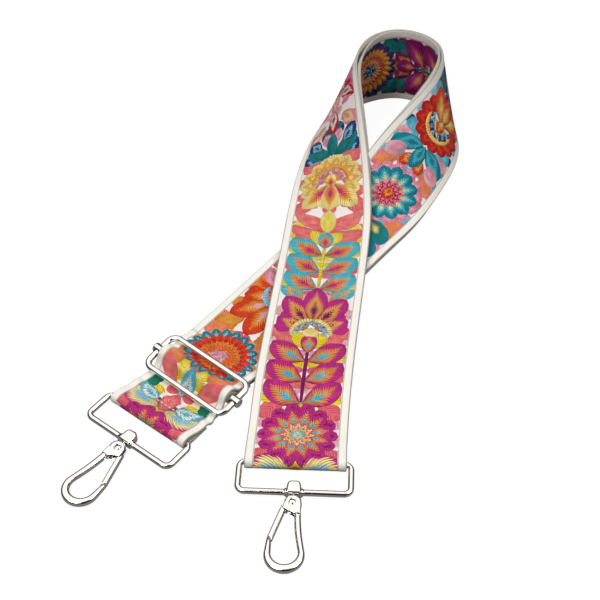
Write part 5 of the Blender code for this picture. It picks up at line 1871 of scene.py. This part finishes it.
class StageSettings(bpy.types.PropertyGroup):
    floor_size: distance_setting("Floor size", "Side of the floor", 3.0)
    floor_colour: colour_setting("Floor", "Colour of the floor", (0.10, 0.10, 0.10))
    floor_glow: number_setting("Floor glow", "What the eye sees beyond the floor's own colour", 0.94)
    mirrored_glow: number_setting("Mirrored glow", "Share of that glow seen in metal", 0.10)
    sky_strength: number_setting("Sky", "Strength of the room's light", 1.16)
    sky_edge: number_setting("Sky edge", "How steeply up the room starts to be bright", 0.65)
    key_watts: number_setting("Key light", "Power of the key light", 18.0, unit="POWER")
    fill_watts: number_setting("Fill light", "Power of the fill light", 8.0, unit="POWER")
    lens: number_setting("Lens", "Focal length in millimetres", 72.0, subtype="DISTANCE_CAMERA")
    camera_place: FloatVectorProperty(
        name="Camera",
        description="Where the camera stands",
        subtype="XYZ",
        default=(0.00717, -0.47897, 0.4761),
    )
    camera_elevation: number_setting(
        "Elevation", "How steeply the camera looks down", math.radians(45.37), subtype="ANGLE"
    )


# Operators


def carry(obj, name):
    """Ties the long piece of the band, or what is on it, to the strap; any other piece gets its place moved
    into its mesh.
    """
    foot, along, _ = slider_axes()
    if name == "band_long":
        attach(obj, "strap")
        return
    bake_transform(obj)


class BAGSTRAP_OT_weave_band(bpy.types.Operator):
    """Weave the band along its route"""

    bl_idname = "bagstrap.weave_band"
    bl_label = "Weave band"

    def execute(self, context):
        settings = context.scene.band_settings
        front = woven_ground("woven_front", settings, False)
        reverse = woven_ground("woven_reverse", settings, True)
        for name, strip in band_strips(settings.row_step).items():
            band = band_mesh(name + "_cloth", strip, settings)
            band.data.materials.append(front)
            band.data.materials.append(reverse)
            carry(band, name)
            node, supports = SHEETS[name]
            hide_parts(node)
            guide = guide_mesh(name + "_guide", strip.beyond, settings)
            guide["span"] = (strip.places[-1] / MM, strip.places[0] / MM)
        return {"FINISHED"}


class BAGSTRAP_OT_embroider(bpy.types.Operator):
    """Embroider flowers and leaves on the band's front"""

    bl_idname = "bagstrap.embroider"
    bl_label = "Embroider band"

    def execute(self, context):
        settings = context.scene.embroidery_settings
        thread = satin_thread("satin_thread", settings)
        tree = lay_on_band_tree()
        for name in SHEETS:
            guide = bpy.data.objects[name + "_guide"]
            uv = np.empty(len(guide.data.loops) * 2)
            guide.data.uv_layers["web"].data.foreach_get("uv", uv)
            reach = uv[0::2].min() / MM, uv[0::2].max() / MM
            low, high = guide["span"]
            spans = {"": (low, high)}
            if low < 0 < high:
                spans = {"_outer": (0.0, high), "_inner": (low, 0.0)}
            for part, span in spans.items():
                motifs = lay_motifs(span[0] - OVERHANG / MM, span[1] + OVERHANG / MM, settings)
                keep_between(motifs, *span, *reach)
                full_name = f"{name}{part}_embroidery"
                flat = add_object(full_name, motifs.mesh(full_name))
                add_tree(flat, tree, {"Band": guide, "Rise": 0.0, "Thread": thread})
                laid = settle(flat, outward=False)
                laid.data.materials.clear()
                laid.data.materials.append(thread)
                laid.data.shade_smooth()
                carry(laid, name)
        return {"FINISHED"}


class BAGSTRAP_OT_sew_seam(bpy.types.Operator):
    """Sew the seam across the fold at the left ring"""

    bl_idname = "bagstrap.sew_seam"
    bl_label = "Sew seam"

    def execute(self, context):
        settings = context.scene.embroidery_settings
        thread = sewing_thread("sewing_thread")
        stitches = stitch_row_tree()
        lay = lay_on_band_tree()
        guide = bpy.data.objects["band_left_end_guide"]
        fold_place = guide["span"][1] * MM - FOLD_TAIL - math.pi * WRAP_RADIUS
        pitch = settings.stitch_pitch
        count = round((BAND_WIDTH - 2 * SEAM_MARGIN * pitch) / pitch)
        start = (fold_place - SEAM_FROM_FOLD, BAND_WIDTH / 2 - pitch * (count - 1) / 2, 0)
        row = add_object("left_seam_stitches", bpy.data.meshes.new("left_seam_stitches"))
        values = {"Count": count, "Start": start, "Pitch": (0, pitch, 0)}
        values |= {"Length": pitch * STITCH_LENGTH, "Radius": settings.stitch_radius}
        add_tree(row, stitches, values)
        rise = settings.stitch_radius / 2 + SEAM_RISE
        add_tree(row, lay, {"Band": guide, "Rise": rise, "Thread": thread})
        row = settle(row)
        row.data.shade_smooth()
        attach(row, "strap")
        return {"FINISHED"}


class BAGSTRAP_OT_cast_rings(bpy.types.Operator):
    """Cast both rings with their swivel bosses and studs"""

    bl_idname = "bagstrap.cast_rings"
    bl_label = "Cast rings"

    def execute(self, context):
        settings = context.scene.metal_settings
        material = plated_metal("bright_plate", settings, PLATE_ROUGHNESS)
        for side in ("left", "right"):
            make_ring(side, settings, material)
            make_rivet(side, material)
        return {"FINISHED"}


class BAGSTRAP_OT_cast_slider(bpy.types.Operator):
    """Cast the slider's frame and its crossbar"""

    bl_idname = "bagstrap.cast_slider"
    bl_label = "Cast slider"

    def execute(self, context):
        settings = context.scene.metal_settings
        make_slider(settings, plated_metal("slider_plate", settings, PLATE_ROUGHNESS))
        return {"FINISHED"}


class BAGSTRAP_OT_make_hooks(bpy.types.Operator):
    """Make both snap hooks with their gates and rivets, and plate the springs"""

    bl_idname = "bagstrap.make_hooks"
    bl_label = "Make snap hooks"

    def execute(self, context):
        settings = context.scene.metal_settings
        material = plated_metal("hook_plate", settings, PLATE_ROUGHNESS)
        wire = plated_metal("spring_wire", settings, WIRE_ROUGHNESS)
        for side in ("left", "right"):
            make_hook(side, settings, material)
            make_gate(side, settings, material)
            make_gate_pin(side, material)
            spring = frame["nodes"][side + "_gate_spring"]
            for slot in spring.material_slots:
                slot.material = wire
        return {"FINISHED"}


class BAGSTRAP_OT_set_stage(bpy.types.Operator):
    """Lay the floor and set up the lights and the camera"""

    bl_idname = "bagstrap.set_stage"
    bl_label = "Set stage"

    def execute(self, context):
        make_stage(context.scene.stage_settings)
        return {"FINISHED"}


OPERATORS = (
    BAGSTRAP_OT_set_stage,
    BAGSTRAP_OT_weave_band,
    BAGSTRAP_OT_embroider,
    BAGSTRAP_OT_sew_seam,
    BAGSTRAP_OT_cast_rings,
    BAGSTRAP_OT_cast_slider,
    BAGSTRAP_OT_make_hooks,
)


class BAGSTRAP_PT_panel(bpy.types.Panel):
    """Steps that dress the bag strap"""

    bl_label = "Bag strap"
    bl_idname = "BAGSTRAP_PT_panel"
    bl_space_type = "VIEW_3D"
    bl_region_type = "UI"
    bl_category = "Bag strap"

    def draw(self, context):
        for operator in OPERATORS:
            self.layout.operator(operator.bl_idname)


GROUPS = {
    "band_settings": BandSettings,
    "embroidery_settings": EmbroiderySettings,
    "metal_settings": MetalSettings,
    "stage_settings": StageSettings,
}


def register():
    for name, group in GROUPS.items():
        bpy.utils.register_class(group)
        setattr(bpy.types.Scene, name, PointerProperty(type=group))
    for operator in OPERATORS:
        bpy.utils.register_class(operator)
    bpy.utils.register_class(BAGSTRAP_PT_panel)


def unregister():
    bpy.utils.unregister_class(BAGSTRAP_PT_panel)
    for operator in reversed(OPERATORS):
        bpy.utils.unregister_class(operator)
    for name, group in GROUPS.items():
        delattr(bpy.types.Scene, name)
        bpy.utils.unregister_class(group)


def main():
    register()
    bpy.ops.bagstrap.set_stage()
    bpy.ops.bagstrap.weave_band()
    bpy.ops.bagstrap.embroider()
    bpy.ops.bagstrap.sew_seam()
    bpy.ops.bagstrap.cast_rings()
    bpy.ops.bagstrap.cast_slider()
    bpy.ops.bagstrap.make_hooks()
    for obj in [o for o in bpy.data.objects if o.name.endswith("_guide")]:
        bpy.data.objects.remove(obj, do_unlink=True)


if __name__ == "__main__":
    main()
